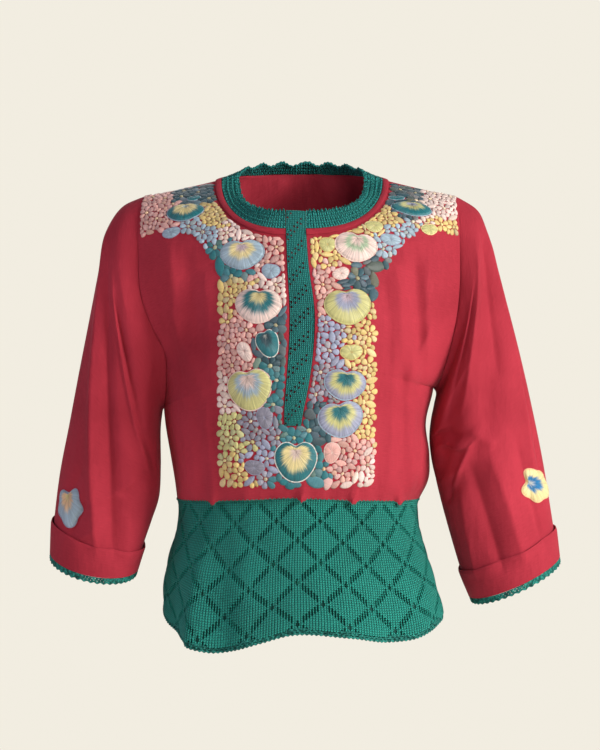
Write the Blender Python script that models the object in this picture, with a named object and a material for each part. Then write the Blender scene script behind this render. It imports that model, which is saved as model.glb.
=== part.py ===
"""A short cotton blouse with a knitted peplum, hollow and shaped as if it were worn.

Metres. X runs to the wearer's left, the front faces -Y, and Z is zero at the level of the two points where
the shoulder seams meet the neck. "left" and "right" are the wearer's.
"""

import math
from collections import namedtuple

import bpy
import numpy as np

COTTON = 0.0015
KNIT = 0.0022
BINDING = 0.0010
BAND_GAP = 0.0008
CROCHET = 0.0020
SEAM_GAP = 0.0004
LIFT = 0.0007
SLEEVE_LIFT = 0.0009
BINDING_LIFT = 0.0022
RELIEF = 0.0008

# Grid sizes: rows run from the waist seam up to the shoulder line, columns from the slit out to the side.
HALF_COLUMNS = 10
ROWS = 18
UNDERARM_ROW = 6
SLIT_ROW = 3
NECK_ROW = 12
BACK_NECK_ROW = 13
LEFT_OF_SLIT = HALF_COLUMNS
RIGHT_OF_SLIT = HALF_COLUMNS + 1

WAIST_FRONT_Z = -0.386
WAIST_SIDE_Z = -0.394
WAIST_BACK_Z = -0.392
SLIT_BOTTOM_Z = -0.300
NECK_FRONT = (-0.104, -0.0665)
NECK_SIDE = (0.101, 0.0, 0.0035)
NECK_BACK = (0.078, 0.020)
BACK_MIDDLE_HALF = 0.012

Level = namedtuple("Level", "z right left front back")
BODICE = (
    Level(-0.394, -0.1556, 0.1460, -0.1130, 0.0960),
    Level(-0.372, -0.1585, 0.1570, -0.1200, 0.1000),
    Level(-0.340, -0.1640, 0.1590, -0.1240, 0.1020),
    Level(-0.300, -0.1710, 0.1545, -0.1260, 0.1040),
    Level(-0.256, -0.1750, 0.1640, -0.1260, 0.1060),
    Level(-0.200, -0.1750, 0.1640, -0.1250, 0.1080),
    Level(-0.130, -0.1750, 0.1640, -0.1180, 0.1060),
    Level(-0.066, -0.1750, 0.1640, -0.1040, 0.0980),
    Level(0.020, -0.1750, 0.1640, -0.1000, 0.0780),
)

Strip = namedtuple("Strip", "z centre half")
PLACKET = (
    Strip(-0.300, -0.0110, 0.0100),
    Strip(-0.285, -0.0100, 0.0115),
    Strip(-0.255, -0.0060, 0.0135),
    Strip(-0.205, -0.0010, 0.0150),
    Strip(-0.170, 0.0000, 0.0152),
    Strip(-0.110, -0.0050, 0.0130),
    Strip(-0.066, -0.0075, 0.0122),
)

Side = namedtuple("Side", "name sign underarm_x underarm_z tip_x tip_z depth_front depth_back")
SIDES = (
    Side("right", -1, -0.1725, -0.280, -0.199, -0.0175, 0.058, 0.060),
    Side("left", 1, 0.1640, -0.256, 0.194, -0.0175, 0.058, 0.060),
)

# How far out the armhole seam lies, from the underarm (0) to the shoulder tip (1).
Reach = namedtuple("Reach", "w right left")
ARMHOLE = (
    Reach(0.00, -0.1725, 0.1640),
    Reach(0.12, -0.1690, 0.1700),
    Reach(0.24, -0.1665, 0.1770),
    Reach(0.34, -0.1680, 0.1840),
    Reach(0.42, -0.1830, 0.1890),
    Reach(0.50, -0.1950, 0.1920),
    Reach(0.65, -0.2000, 0.1930),
    Reach(0.80, -0.2010, 0.1935),
    Reach(1.00, -0.1990, 0.1940),
)

Turn = namedtuple("Turn", "w degrees")
EDGE_TURN = (Turn(0.0, 90), Turn(0.15, 76), Turn(0.35, 60), Turn(0.6, 52), Turn(1.0, 42))

# Sleeve rings, seen from the front: the inner and the outer end of each, its front and back, and how much
# lower its front hangs than its back.
Ring = namedtuple("Ring", "s in_x in_z out_x out_z front back drop")
SLEEVES = {
    "right": (
        Ring(0.06, -0.1755, -0.2850, -0.2230, -0.0290, -0.060, 0.062, 0.000),
        Ring(0.14, -0.1765, -0.2950, -0.2440, -0.0600, -0.063, 0.063, 0.000),
        Ring(0.25, -0.1770, -0.3100, -0.2540, -0.1130, -0.064, 0.060, 0.002),
        Ring(0.36, -0.1765, -0.3300, -0.2650, -0.1710, -0.064, 0.056, 0.004),
        Ring(0.48, -0.1760, -0.3550, -0.2770, -0.2340, -0.064, 0.050, 0.006),
        Ring(0.61, -0.1775, -0.3900, -0.2890, -0.3000, -0.065, 0.044, 0.009),
        Ring(0.75, -0.1865, -0.4200, -0.3000, -0.3600, -0.066, 0.036, 0.012),
        Ring(0.88, -0.1965, -0.4500, -0.3065, -0.4170, -0.067, 0.028, 0.014),
        Ring(1.00, -0.2040, -0.4780, -0.3095, -0.4560, -0.068, 0.026, 0.016),
    ),
    "left": (
        Ring(0.06, 0.1675, -0.2620, 0.2180, -0.0330, -0.060, 0.062, 0.000),
        Ring(0.14, 0.1650, -0.2760, 0.2310, -0.0620, -0.063, 0.063, 0.000),
        Ring(0.25, 0.1610, -0.2960, 0.2430, -0.1070, -0.064, 0.060, 0.000),
        Ring(0.36, 0.1590, -0.3190, 0.2580, -0.1620, -0.064, 0.056, 0.001),
        Ring(0.48, 0.1615, -0.3460, 0.2720, -0.2180, -0.064, 0.050, 0.002),
        Ring(0.61, 0.1680, -0.3760, 0.2850, -0.2770, -0.065, 0.044, 0.003),
        Ring(0.75, 0.1790, -0.4200, 0.2990, -0.3490, -0.066, 0.036, 0.005),
        Ring(0.88, 0.1960, -0.4790, 0.3110, -0.4270, -0.067, 0.028, 0.007),
        Ring(1.00, 0.2080, -0.5120, 0.3165, -0.4620, -0.068, 0.026, 0.008),
    ),
}
CAP_REACH = 0.36
SLEEVE_STATIONS = (0.0, 0.03, 0.06, 0.12, 0.20, 0.29, 0.38, 0.47, 0.56, 0.65, 0.74, 0.81, 0.88, 0.94, 1.0)
CUFF_TOP = 0.88
CUFF_FLARE = 0.0012
CUFF_EDGING = 0.007

# Long folds of the sleeves: where round the sleeve they start and end (0 underarm, 90 front, 180 outside).
SleeveFold = namedtuple("SleeveFold", "side turn_top turn_low s_top s_low width height")
SLEEVE_FOLDS = (
    SleeveFold("right", 150, 84, 0.12, 0.90, 16, 0.0050),
    SleeveFold("right", 108, 60, 0.10, 0.52, 18, -0.0050),
    SleeveFold("right", 230, 262, 0.10, 0.70, 20, 0.0045),
    SleeveFold("left", 158, 140, 0.10, 0.52, 16, 0.0045),
    SleeveFold("left", 128, 96, 0.10, 0.60, 18, -0.0050),
    SleeveFold("left", 70, 20, 0.30, 0.60, 18, -0.0060),
    SleeveFold("left", 225, 258, 0.12, 0.66, 20, 0.0045),
)

# Folds of the bodice as straight ridges or troughs from one point (x, z) to another.
Fold = namedtuple("Fold", "face x_top z_top x_low z_low width height")
BODICE_FOLDS = (
    Fold("front", 0.127, -0.190, 0.133, -0.350, 0.014, 0.0040),
    Fold("front", 0.150, -0.150, 0.112, -0.300, 0.016, -0.0030),
    Fold("front", -0.140, -0.190, -0.126, -0.370, 0.016, 0.0035),
    Fold("front", -0.160, -0.240, -0.150, -0.380, 0.012, -0.0030),
    Fold("front", -0.080, -0.300, -0.086, -0.380, 0.014, 0.0025),
    Fold("front", 0.070, -0.300, 0.074, -0.380, 0.014, 0.0025),
    Fold("back", -0.120, -0.160, -0.105, -0.360, 0.018, 0.0040),
    Fold("back", 0.118, -0.150, 0.100, -0.350, 0.018, 0.0045),
    Fold("back", 0.010, -0.230, -0.004, -0.370, 0.016, 0.0030),
)
BUST = (0.078, -0.185, 0.055, 0.008)

# The embroidered band: its half width beside the slit, its foot, and the lower edge of the shoulder pieces.
BAND_HALF = 0.098
BAND_FOOT_Z = -0.372
Edge = namedtuple("Edge", "x z")
SHOULDER_EDGE = (Edge(0.098, -0.116), Edge(0.124, -0.078), Edge(0.148, -0.066), Edge(0.200, -0.072))

PEPLUM = (
    Level(-0.386, -0.1568, 0.1500, -0.1158, 0.0976),
    Level(-0.394, -0.1556, 0.1460, -0.1130, 0.0960),
    Level(-0.412, -0.1535, 0.1440, -0.1150, 0.0980),
    Level(-0.440, -0.1590, 0.1490, -0.1185, 0.1020),
    Level(-0.480, -0.1700, 0.1600, -0.1230, 0.1070),
    Level(-0.520, -0.1740, 0.1690, -0.1260, 0.1110),
    Level(-0.560, -0.1730, 0.1730, -0.1280, 0.1130),
)
DIAMONDS = 8
LATTICE_LEVELS = 6
LEVEL_STEP = 0.159
EYELET = 0.0046
PEPLUM_HEIGHT = 0.157
PEPLUM_RADIUS = 0.125
FOLD_GROWTH = 1.3
HEM_EDGING = 0.008

# The hem's height round the body, in degrees from the centre front towards the wearer's left.
HemPoint = namedtuple("HemPoint", "turn z")
HEM = (
    HemPoint(-180, -0.545),
    HemPoint(-120, -0.548),
    HemPoint(-90, -0.556),
    HemPoint(-58, -0.570),
    HemPoint(-30, -0.553),
    HemPoint(0, -0.549),
    HemPoint(30, -0.555),
    HemPoint(60, -0.548),
    HemPoint(90, -0.534),
    HemPoint(130, -0.541),
    HemPoint(180, -0.545),
)

PeplumFold = namedtuple("PeplumFold", "turn width height")
PEPLUM_FOLDS = (
    PeplumFold(-56, 13, 0.0130),
    PeplumFold(-78, 11, -0.0060),
    PeplumFold(62, 16, 0.0060),
    PeplumFold(128, 18, 0.0080),
    PeplumFold(-135, 18, 0.0080),
)

# The neckband's upper edge: its middle at the front and at the back, with how sharply it dips there.
Dip = namedtuple("Dip", "y z power")
BAND_TOP_FRONT = Dip(-0.098, -0.0440, 0.62)
BAND_TOP_BACK = Dip(0.058, 0.031, 0.9)
BAND_TOP_SIDE = (0.078, 0.0, 0.009)
BAND_STEPS = 4
SCALLOPS = 18
SCALLOP_HEIGHT = 0.0022
SCALLOP_RUFFLE = 0.0018
BINDING_WIDTH = 0.008
BINDING_STEPS = 2

# The padded flowers: where their middles lie, seen from the front, their size and their turn in degrees.
Flower = namedtuple("Flower", "name x z width height turn notch")
FLOWERS = (
    Flower("flower_shoulder_right", -0.1420, -0.0420, 0.046, 0.030, 6, 0.12),
    Flower("flower_band_right_top", -0.0710, -0.0965, 0.053, 0.035, 4, 0.10),
    Flower("flower_band_right_upper", -0.0520, -0.1575, 0.055, 0.042, -4, 0.12),
    Flower("flower_band_right_small", -0.0405, -0.2020, 0.026, 0.034, 20, 0.16),
    Flower("flower_band_right_low", -0.0620, -0.2560, 0.053, 0.050, 8, 0.14),
    Flower("flower_foot", -0.0075, -0.3400, 0.049, 0.050, 0, 0.24),
    Flower("flower_band_left_top", 0.0640, -0.0875, 0.051, 0.034, -8, 0.10),
    Flower("flower_band_left_upper", 0.0540, -0.1585, 0.055, 0.043, 6, 0.12),
    Flower("flower_band_left_low", 0.0505, -0.2510, 0.050, 0.036, -6, 0.12),
    Flower("flower_band_left_foot", 0.0455, -0.2915, 0.054, 0.042, 8, 0.12),
    Flower("flower_shoulder_left", 0.1330, -0.0380, 0.050, 0.026, -10, 0.10),
)
SleeveFlower = namedtuple("SleeveFlower", "name side s turn width height lean notch")
SLEEVE_FLOWERS = (
    SleeveFlower("flower_sleeve_right", "right", 0.80, 134, 0.036, 0.046, 8, 0.14),
    SleeveFlower("flower_sleeve_left", "left", 0.775, 140, 0.038, 0.050, 70, 0.20),
)
PETAL_POINTS = 16
FLOWER_THICK = 0.0016

RED = (0.50, 0.035, 0.060, 1)
GREEN = (0.020, 0.260, 0.190, 1)
SATIN = {
    "teal": (0.060, 0.330, 0.350, 1),
    "blue": (0.330, 0.430, 0.520, 1),
    "pink": (0.760, 0.480, 0.450, 1),
    "lime": (0.560, 0.600, 0.300, 1),
    "lilac": (0.500, 0.520, 0.640, 1),
    "cream": (0.850, 0.780, 0.560, 1),
}
FLOWER_TINTS = ("teal", "blue", "pink", "teal", "lime", "teal", "pink", "lime", "lilac", "lilac", "teal")
SLEEVE_TINTS = ("blue", "cream")


def through(knots, values, at):
    """Smooth curve through the values at the knots: a cubic Hermite spline. It takes arrays of values too."""
    knots, values, at = (np.asarray(a, float) for a in (knots, values, at))
    slopes = np.gradient(values, knots, axis=0)
    at = np.clip(at, knots[0], knots[-1])
    k = np.clip(np.searchsorted(knots, at, "right") - 1, 0, len(knots) - 2)
    span = knots[k + 1] - knots[k]
    f = (at - knots[k]) / span
    shape = f.shape + (1,) * (values.ndim - 1)
    f, span = f.reshape(shape), span.reshape(shape)
    return (
        values[k] * (2 * f**3 - 3 * f**2 + 1)
        + values[k + 1] * (3 * f**2 - 2 * f**3)
        + slopes[k] * span * (f**3 - 2 * f**2 + f)
        + slopes[k + 1] * span * (f**3 - f**2)
    )


def read(table, column, at, key="z"):
    """The column of a table, read smoothly at the values of its key column."""
    rows = sorted(table, key=lambda row: getattr(row, key))
    return through([getattr(r, key) for r in rows], [getattr(r, column) for r in rows], at)


def lerp(a, b, f):
    return a + (b - a) * f


def unit(vectors):
    return vectors / np.maximum(np.linalg.norm(vectors, axis=-1, keepdims=True), 1e-12)


def normals_of(points, inside, wrap=False, keep=None):
    """Unit normals of a grid, each the mean of the cells round it, turned away from the point called inside."""
    if wrap:
        points = np.concatenate([points, points[:, :1]], axis=1)
    cells = np.cross(points[1:, 1:] - points[:-1, :-1], points[1:, :-1] - points[:-1, 1:])
    if keep is not None:
        cells = cells * keep[..., None]
    normals = np.zeros(points.shape)
    for r in (slice(None, -1), slice(1, None)):
        for c in (slice(None, -1), slice(1, None)):
            normals[r, c] += cells
    if wrap:
        normals[:, 0] += normals[:, -1]
        points, normals = points[:, :-1], normals[:, :-1]
    normals = unit(normals)
    away = (normals * (points - inside)).sum(axis=-1)
    return normals if away.mean() > 0 else -normals


def cloth(name, outer, inner, material, keep=None, wrap=False):
    """One closed wall between two grids of points, without the cells that keep leaves out."""
    rows, columns = outer.shape[:2]
    across = columns if wrap else columns - 1
    keep = np.ones((rows - 1, across), bool) if keep is None else keep
    size = rows * columns

    def corner(r, c, layer):
        return layer * size + r * columns + c % columns

    def kept(r, c):
        if wrap:
            c %= across
        return 0 <= r < rows - 1 and 0 <= c < across and keep[r, c]

    faces = []
    for r in range(rows - 1):
        for c in range(across):
            if not keep[r, c]:
                continue
            ring = [(r, c), (r, c + 1), (r + 1, c + 1), (r + 1, c)]
            faces.append([corner(a, b, 0) for a, b in ring])
            faces.append([corner(a, b, 1) for a, b in reversed(ring)])
            beside = ((r - 1, c), (r, c + 1), (r + 1, c), (r, c - 1))
            for k, (nr, nc) in enumerate(beside):
                if not kept(nr, nc):
                    start, end = ring[k], ring[(k + 1) % 4]
                    rim = [corner(*end, 0), corner(*start, 0), corner(*start, 1), corner(*end, 1)]
                    faces.append(rim)
    points = np.concatenate([outer.reshape(-1, 3), inner.reshape(-1, 3)])
    return solid(name, points, faces, material)


def solid(name, points, faces, material):
    """A mesh object of these faces, with unused points dropped and its faces turned outwards."""
    used = sorted({i for face in faces for i in face})
    place = {old: new for new, old in enumerate(used)}
    faces = [[place[i] for i in face] for face in faces]
    points = points[used]
    corners = np.array([[f[0], f[k], f[k + 1]] for f in faces for k in range(1, len(f) - 1)])
    a, b, c = points[corners].transpose(1, 0, 2)
    if (a * np.cross(b, c)).sum() < 0:
        faces = [face[::-1] for face in faces]
    mesh = bpy.data.meshes.new(name)
    mesh.from_pydata(points.tolist(), [], faces)
    mesh.materials.append(material)
    mesh.shade_smooth()
    mesh.set_sharp_from_angle(angle=math.radians(50))
    made = bpy.data.objects.new(name, mesh)
    bpy.context.scene.collection.objects.link(made)
    return made


def fabric(name, colour, roughness):
    material = bpy.data.materials.new(name)
    material.use_nodes = True
    shader = material.node_tree.nodes["Principled BSDF"]
    shader.inputs["Base Color"].default_value = colour
    shader.inputs["Roughness"].default_value = roughness
    shader.inputs["Metallic"].default_value = 0.0
    return material


def trimmed(points, gap, low_row=True, high_row=True, low_column=True, high_column=True):
    """The grid with its chosen edges drawn in by the gap, each along the lines that cross that edge."""
    points = points.copy()
    for wanted, edge, beside in ((low_row, 0, 1), (high_row, -1, -2)):
        if wanted:
            points[edge] += gap * unit(points[beside] - points[edge])
    for wanted, edge, beside in ((low_column, 0, 1), (high_column, -1, -2)):
        if wanted:
            points[:, edge] += gap * unit(points[:, beside] - points[:, edge])
    return points


def waist_z(turn):
    """Height of the waist seam at an angle from the centre front, in degrees."""
    side = np.abs(np.sin(np.radians(turn)))
    middle = np.where(np.abs(turn) <= 90, WAIST_FRONT_Z, WAIST_BACK_Z)
    return lerp(middle, WAIST_SIDE_Z, side)


def armhole(side, w, back):
    """Points of the armhole seam, from the underarm (0) to the shoulder tip (1)."""
    middle = (side.tip_z + side.underarm_z) / 2
    half = (side.tip_z - side.underarm_z) / 2
    depth = side.depth_back if back else -side.depth_front
    x = read(ARMHOLE, side.name, w, "w")
    y = depth * np.sin(np.pi * w) ** 0.8 + lerp(0.0, 0.004, w)
    return np.stack([x, y, middle - half * np.cos(np.pi * w)], axis=-1)


def outer_edge(side, back):
    """Side seam from the waist up to the underarm, then the armhole up to the shoulder tip."""
    low = np.linspace(WAIST_SIDE_Z, side.underarm_z, UNDERARM_ROW + 1)[:-1]
    edge = read(BODICE, side.name, low)
    blend = np.linspace(0, 1, UNDERARM_ROW + 1)[:-1] ** 2
    edge = lerp(edge, edge + side.underarm_x - read(BODICE, side.name, [side.underarm_z])[0], blend)
    seam = np.stack([edge, np.zeros(UNDERARM_ROW), low], axis=-1)
    w = np.linspace(0, 1, ROWS - UNDERARM_ROW + 1)
    return np.concatenate([seam, armhole(side, w, back)])


def neck_point(side, start, middle, turn):
    """A point of the neck seam, from its corner at the centre (0 degrees) to the shoulder (90)."""
    sin, cos = np.sin(np.radians(turn)), np.cos(np.radians(turn))
    x = lerp(start, side.sign * NECK_SIDE[0], sin**0.8)
    y = lerp(NECK_SIDE[1], middle[0], cos)
    z = lerp(NECK_SIDE[2], middle[1], cos)
    return np.stack([x, y, z], axis=-1)


def front_inner_edge(side):
    """Beside the slit from the waist up to the neck's front corner, then along the neck to the shoulder."""
    row = np.arange(NECK_ROW + 1)
    z = through([0, SLIT_ROW, NECK_ROW], [WAIST_FRONT_Z, SLIT_BOTTOM_Z, NECK_FRONT[1]], row)
    x = read(PLACKET, "centre", z) + side.sign * read(PLACKET, "half", z)
    y = read(BODICE, "front", z)
    y[-1] = NECK_FRONT[0]
    low = np.stack([x, y, z], axis=-1)
    turn = np.linspace(0, 90, ROWS - NECK_ROW + 1)[1:]
    return np.concatenate([low, neck_point(side, x[-1], NECK_FRONT, turn)])


def back_inner_edge(side):
    z = np.linspace(WAIST_BACK_Z, NECK_BACK[1], BACK_NECK_ROW + 1)
    x = np.full_like(z, side.sign * BACK_MIDDLE_HALF)
    low = np.stack([x, read(BODICE, "back", z), z], axis=-1)
    turn = np.linspace(0, 90, ROWS - BACK_NECK_ROW + 1)[1:]
    return np.concatenate([low, neck_point(side, x[0], NECK_BACK, turn)])


def half_panel(side, back):
    """The panel's points from its inner edge (column 0) to its outer edge, a row for each level."""
    inner = back_inner_edge(side) if back else front_inner_edge(side)
    outer = outer_edge(side, back)
    w = np.clip((np.arange(ROWS + 1) - UNDERARM_ROW) / (ROWS - UNDERARM_ROW), 0, 1)
    turn = np.radians(read(EDGE_TURN, "degrees", w, "w"))[:, None]
    t = np.linspace(0, 1, HALF_COLUMNS + 1)[None, :]
    along = np.sin(t * turn) / np.sin(turn)
    round_it = (1 - np.cos(t * turn)) / (1 - np.cos(turn))
    points = np.empty((ROWS + 1, HALF_COLUMNS + 1, 3))
    for axis, f in ((0, along), (1, round_it), (2, along)):
        points[..., axis] = lerp(inner[:, None, axis], outer[:, None, axis], f)
    return points


def ridge(x, z, fold):
    """Height of a fold over the points (x, z), fading at both ends."""
    start = np.array([fold.x_top, fold.z_top])
    line = np.array([fold.x_low, fold.z_low]) - start
    length = np.linalg.norm(line)
    line /= length
    offset = np.stack([x, z], axis=-1) - start
    f = offset @ line / length
    aside = np.abs(offset @ np.array([-line[1], line[0]]))
    fade = np.clip(1.2 - np.abs(2 * f - 1) ** 3 * 1.2, 0, 1)
    return fold.height * np.exp(-((aside / fold.width) ** 2)) * fade


def shaped(points, back):
    """The panel with its bust and its folds, which move its points in or out along Y."""
    face = "back" if back else "front"
    outwards = 1 if back else -1
    x, z = points[..., 0], points[..., 2]
    push = sum(ridge(x, z, fold) for fold in BODICE_FOLDS if fold.face == face)
    if not back:
        at_x, at_z, radius, height = BUST
        away = (np.abs(x) - at_x) ** 2 + (z - at_z) ** 2
        push = push + height * np.exp(-away / radius**2)
    inside_edges = np.ones(points.shape[:2])
    inside_edges[:, [0, -1]] = 0
    inside_edges[[0, -1]] = 0
    points = points.copy()
    points[..., 1] += outwards * push * inside_edges
    return points


def panel(back):
    """Both halves side by side: columns run from the wearer's right side seam to the left one."""
    right, left = (half_panel(side, back) for side in SIDES)
    return shaped(np.concatenate([right[:, ::-1], left], axis=1), back)


def embroidered(points):
    x, z = np.abs(points[..., 0]), points[..., 2]
    beside_slit = (x < BAND_HALF + 0.004) & (z > BAND_FOOT_Z)
    on_shoulder = z > read(SHOULDER_EDGE, "z", x, "x") - 0.004
    return beside_slit | on_shoulder


def share(a, b):
    """The two pieces' normals at a common seam, made one so that their walls meet edge to edge."""
    both = unit(a + b)
    a[:], b[:] = both, both


def sleeve_rings(side, stations):
    """Rings of the sleeve at these stations, each starting at the underarm and going round by the front."""
    front = outer_edge(side, False)[UNDERARM_ROW:]
    back = outer_edge(side, True)[UNDERARM_ROW:]
    around = 2 * (ROWS - UNDERARM_ROW)
    first = np.concatenate([front, back[-2:0:-1]])
    angle = np.radians(np.arange(around) * 360 / around)
    straight = lerp(first[0, 0], first[around // 2, 0], (1 - np.cos(angle)) / 2)
    bulge = first[:, 0] - straight
    rings = [first]
    for ring in SLEEVES[side.name]:
        inside = np.array([ring.in_x, 0, ring.in_z])
        outside = np.array([ring.out_x, 0, ring.out_z])
        middle, half = (inside + outside) / 2, (outside - inside) / 2
        points = middle - np.cos(angle)[:, None] * half
        points[:, 1] = (ring.front + ring.back) / 2 + np.sin(angle) * (ring.front - ring.back) / 2
        points[:, 2] -= ring.drop * np.sin(angle)
        points[:, 0] += bulge * max(1 - ring.s / CAP_REACH, 0) ** 1.5
        rings.append(points)
    knots = [0.0] + [ring.s for ring in SLEEVES[side.name]]
    points = through(knots, np.array(rings), np.asarray(stations))
    outwards = unit(points - points.mean(axis=1, keepdims=True))
    s = np.asarray(stations)[:, None]
    push = np.zeros(points.shape[:2])
    for fold in SLEEVE_FOLDS:
        if fold.side != side.name:
            continue
        f = (s - fold.s_top) / (fold.s_low - fold.s_top)
        at = lerp(fold.turn_top, fold.turn_low, f)
        aside = (np.degrees(angle)[None, :] - at + 180) % 360 - 180
        fade = np.clip(1.2 - np.abs(2 * f - 1) ** 3 * 1.2, 0, 1)
        push += fold.height * np.exp(-((aside / fold.width) ** 2)) * fade
    return points + outwards * push[..., None]


def surface_at(grid, at):
    """A point or a normal of a grid at fractional (row, column) places, between its four neighbours."""
    at = np.asarray(at, float)
    rows, columns = grid.shape[:2]
    r = np.clip(np.floor(at[..., 0]).astype(int), 0, rows - 2)
    c = np.clip(np.floor(at[..., 1]).astype(int), 0, columns - 2)
    fr, fc = (at[..., 0] - r)[..., None], (at[..., 1] - c)[..., None]
    low = lerp(grid[r, c], grid[r, c + 1], fc)
    high = lerp(grid[r + 1, c], grid[r + 1, c + 1], fc)
    return lerp(low, high, fr)


def locate(grid, start, origin, axes, targets):
    """Places on a grid whose points, measured from the origin along two axes, have the target offsets."""
    at = np.tile(np.asarray(start, float), (len(targets), 1))
    limit = np.array(grid.shape[:2]) - 1
    small = 1e-3
    for _ in range(30):
        here = (surface_at(grid, at) - origin) @ axes.T
        down = ((surface_at(grid, at + [small, 0]) - origin) @ axes.T - here) / small
        over = ((surface_at(grid, at + [0, small]) - origin) @ axes.T - here) / small
        jacobian = np.stack([down, over], axis=-1)
        miss = targets - here
        move = np.linalg.solve(jacobian + 1e-9 * np.eye(2), miss[..., None])[..., 0]
        at = np.clip(at + np.clip(move, -1, 1), 0, limit)
    return at


def petal_radius(angle, width, height, notch):
    """Outline of a rounded heart-like flower, with its notch at the top."""
    oval = 0.5 / np.sqrt((np.cos(angle) / width) ** 2 + (np.sin(angle) / height) ** 2)
    from_top = np.abs((angle - np.pi / 2 + np.pi) % (2 * np.pi) - np.pi)
    lobes = 1 + 0.05 * np.cos(3 * (angle + np.pi / 2))
    return oval * lobes * (1 - notch * np.exp(-((from_top / 0.35) ** 2)))


def flower(name, grid, normals, at, axes, size, lift, material):
    """A low padded disc on a grid's surface, its back clear of it and its middle raised."""
    width, height, turn, notch = size
    origin = surface_at(grid, at)
    angle = np.linspace(0, 2 * np.pi, PETAL_POINTS, endpoint=False)
    radius = petal_radius(angle, width, height, notch)
    shares = np.array([0.5, 1.0])
    turned = angle + math.radians(turn)
    offsets = np.stack([np.cos(turned), np.sin(turned)], axis=-1)
    targets = (shares[:, None, None] * (radius[:, None] * offsets)[None]).reshape(-1, 2)
    places = locate(grid, at, origin, axes, targets)
    base = surface_at(grid, places).reshape(len(shares), PETAL_POINTS, 3)
    up = unit(surface_at(normals, places)).reshape(base.shape)
    dome = FLOWER_THICK * (1.25 - 0.85 * shares**2)[:, None, None]
    under = base + up * lift
    top = base + up * (lift + dome)
    middle = unit(surface_at(normals, at))
    centres = [origin + middle * lift, origin + middle * (lift + FLOWER_THICK * 1.25)]
    points = np.concatenate([under.reshape(-1, 3), top.reshape(-1, 3), centres])
    count = PETAL_POINTS
    faces = []
    for k in range(count):
        n = (k + 1) % count
        faces.append([n, k, 4 * count])
        faces.append([2 * count + k, 2 * count + n, 4 * count + 1])
        faces.append([k, n, count + n, count + k])
        faces.append([2 * count + n, 2 * count + k, 3 * count + k, 3 * count + n])
        faces.append([count + k, count + n, 3 * count + n, 3 * count + k])
    return solid(name, points, faces, material)


def peplum_ring(turn, h):
    """Points of the peplum at these angles, at a share of its height down from the waist seam."""
    top, foot = waist_z(turn), read(HEM, "z", turn, "turn") + HEM_EDGING
    z = lerp(top, foot, h)
    radians = np.radians(turn)
    sin, cos = np.sin(radians), np.cos(radians)
    side = np.where(sin < 0, -read(PEPLUM, "right", z), read(PEPLUM, "left", z))
    middle = (read(PEPLUM, "left", z) + read(PEPLUM, "right", z)) / 2 * np.cos(radians) ** 2
    side = np.where(sin < 0, side + middle, side - middle)
    depth = np.where(cos > 0, -read(PEPLUM, "front", z), read(PEPLUM, "back", z))
    push = np.zeros_like(turn)
    for fold in PEPLUM_FOLDS:
        aside = (turn - fold.turn + 180) % 360 - 180
        push = push + fold.height * np.exp(-((aside / fold.width) ** 2))
    grow = 1 + push * h**FOLD_GROWTH / PEPLUM_RADIUS
    return np.stack([middle + side * sin * grow, -depth * cos * grow, z], axis=-1)


def peplum_half(first, last):
    """Grid of one half of the peplum: narrow rows and columns at the lattice's crossings, wide ones between."""
    dense = np.linspace(first, last, 361)
    crossings = np.arange(1, 2 * DIAMONDS) / (2 * DIAMONDS)
    heights = [0.0]
    half = EYELET / 2 / PEPLUM_HEIGHT
    for level in range(1, LATTICE_LEVELS + 1):
        heights += [level * LEVEL_STEP - half, level * LEVEL_STEP + half]
    heights.append(1.0)
    grid = []
    for h in heights:
        ring = peplum_ring(dense, np.full_like(dense, h))
        length = np.concatenate([[0], np.cumsum(np.linalg.norm(np.diff(ring, axis=0), axis=1))])
        half = EYELET / 2 / length[-1]
        shares = np.concatenate([[0], np.stack([crossings - half, crossings + half], axis=1).ravel(), [1]])
        turns = np.interp(shares * length[-1], length, dense)
        grid.append(peplum_ring(turns, np.full_like(turns, h)))
    points = np.array(grid)
    keep = np.ones((len(heights) - 1, points.shape[1] - 1), bool)
    for level in range(1, LATTICE_LEVELS + 1):
        for k in range(1, 2 * DIAMONDS):
            if (k + level) % 2 == 0:
                keep[2 * level - 1, 2 * k - 1] = False
    return points, keep


def neck_places():
    """Where the neck seam runs, from the slit round the back to the slit again: (is back, row, column)."""
    places = [(False, r, LEFT_OF_SLIT) for r in range(NECK_ROW, ROWS + 1)]
    places += [(True, r, LEFT_OF_SLIT) for r in range(ROWS - 1, BACK_NECK_ROW - 1, -1)]
    places += [(True, r, RIGHT_OF_SLIT) for r in range(BACK_NECK_ROW, ROWS + 1)]
    places += [(False, r, RIGHT_OF_SLIT) for r in range(ROWS - 1, NECK_ROW - 1, -1)]
    return places


def neck_track(count):
    """The same seam with each step divided evenly: places between the grids' own points."""
    places = neck_places()
    track = []
    for here, ahead in zip(places, places[1:]):
        for k in range(count):
            f = k / count
            track.append((ahead[0], lerp(here[1], ahead[1], f), lerp(here[2], ahead[2], f)))
    return track + [places[-1]]


def along_neck(front, back):
    """The values of the front's and the back's grids along the neck seam."""
    return np.array([(back if is_back else front)[r, c] for is_back, r, c in neck_places()])


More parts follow.
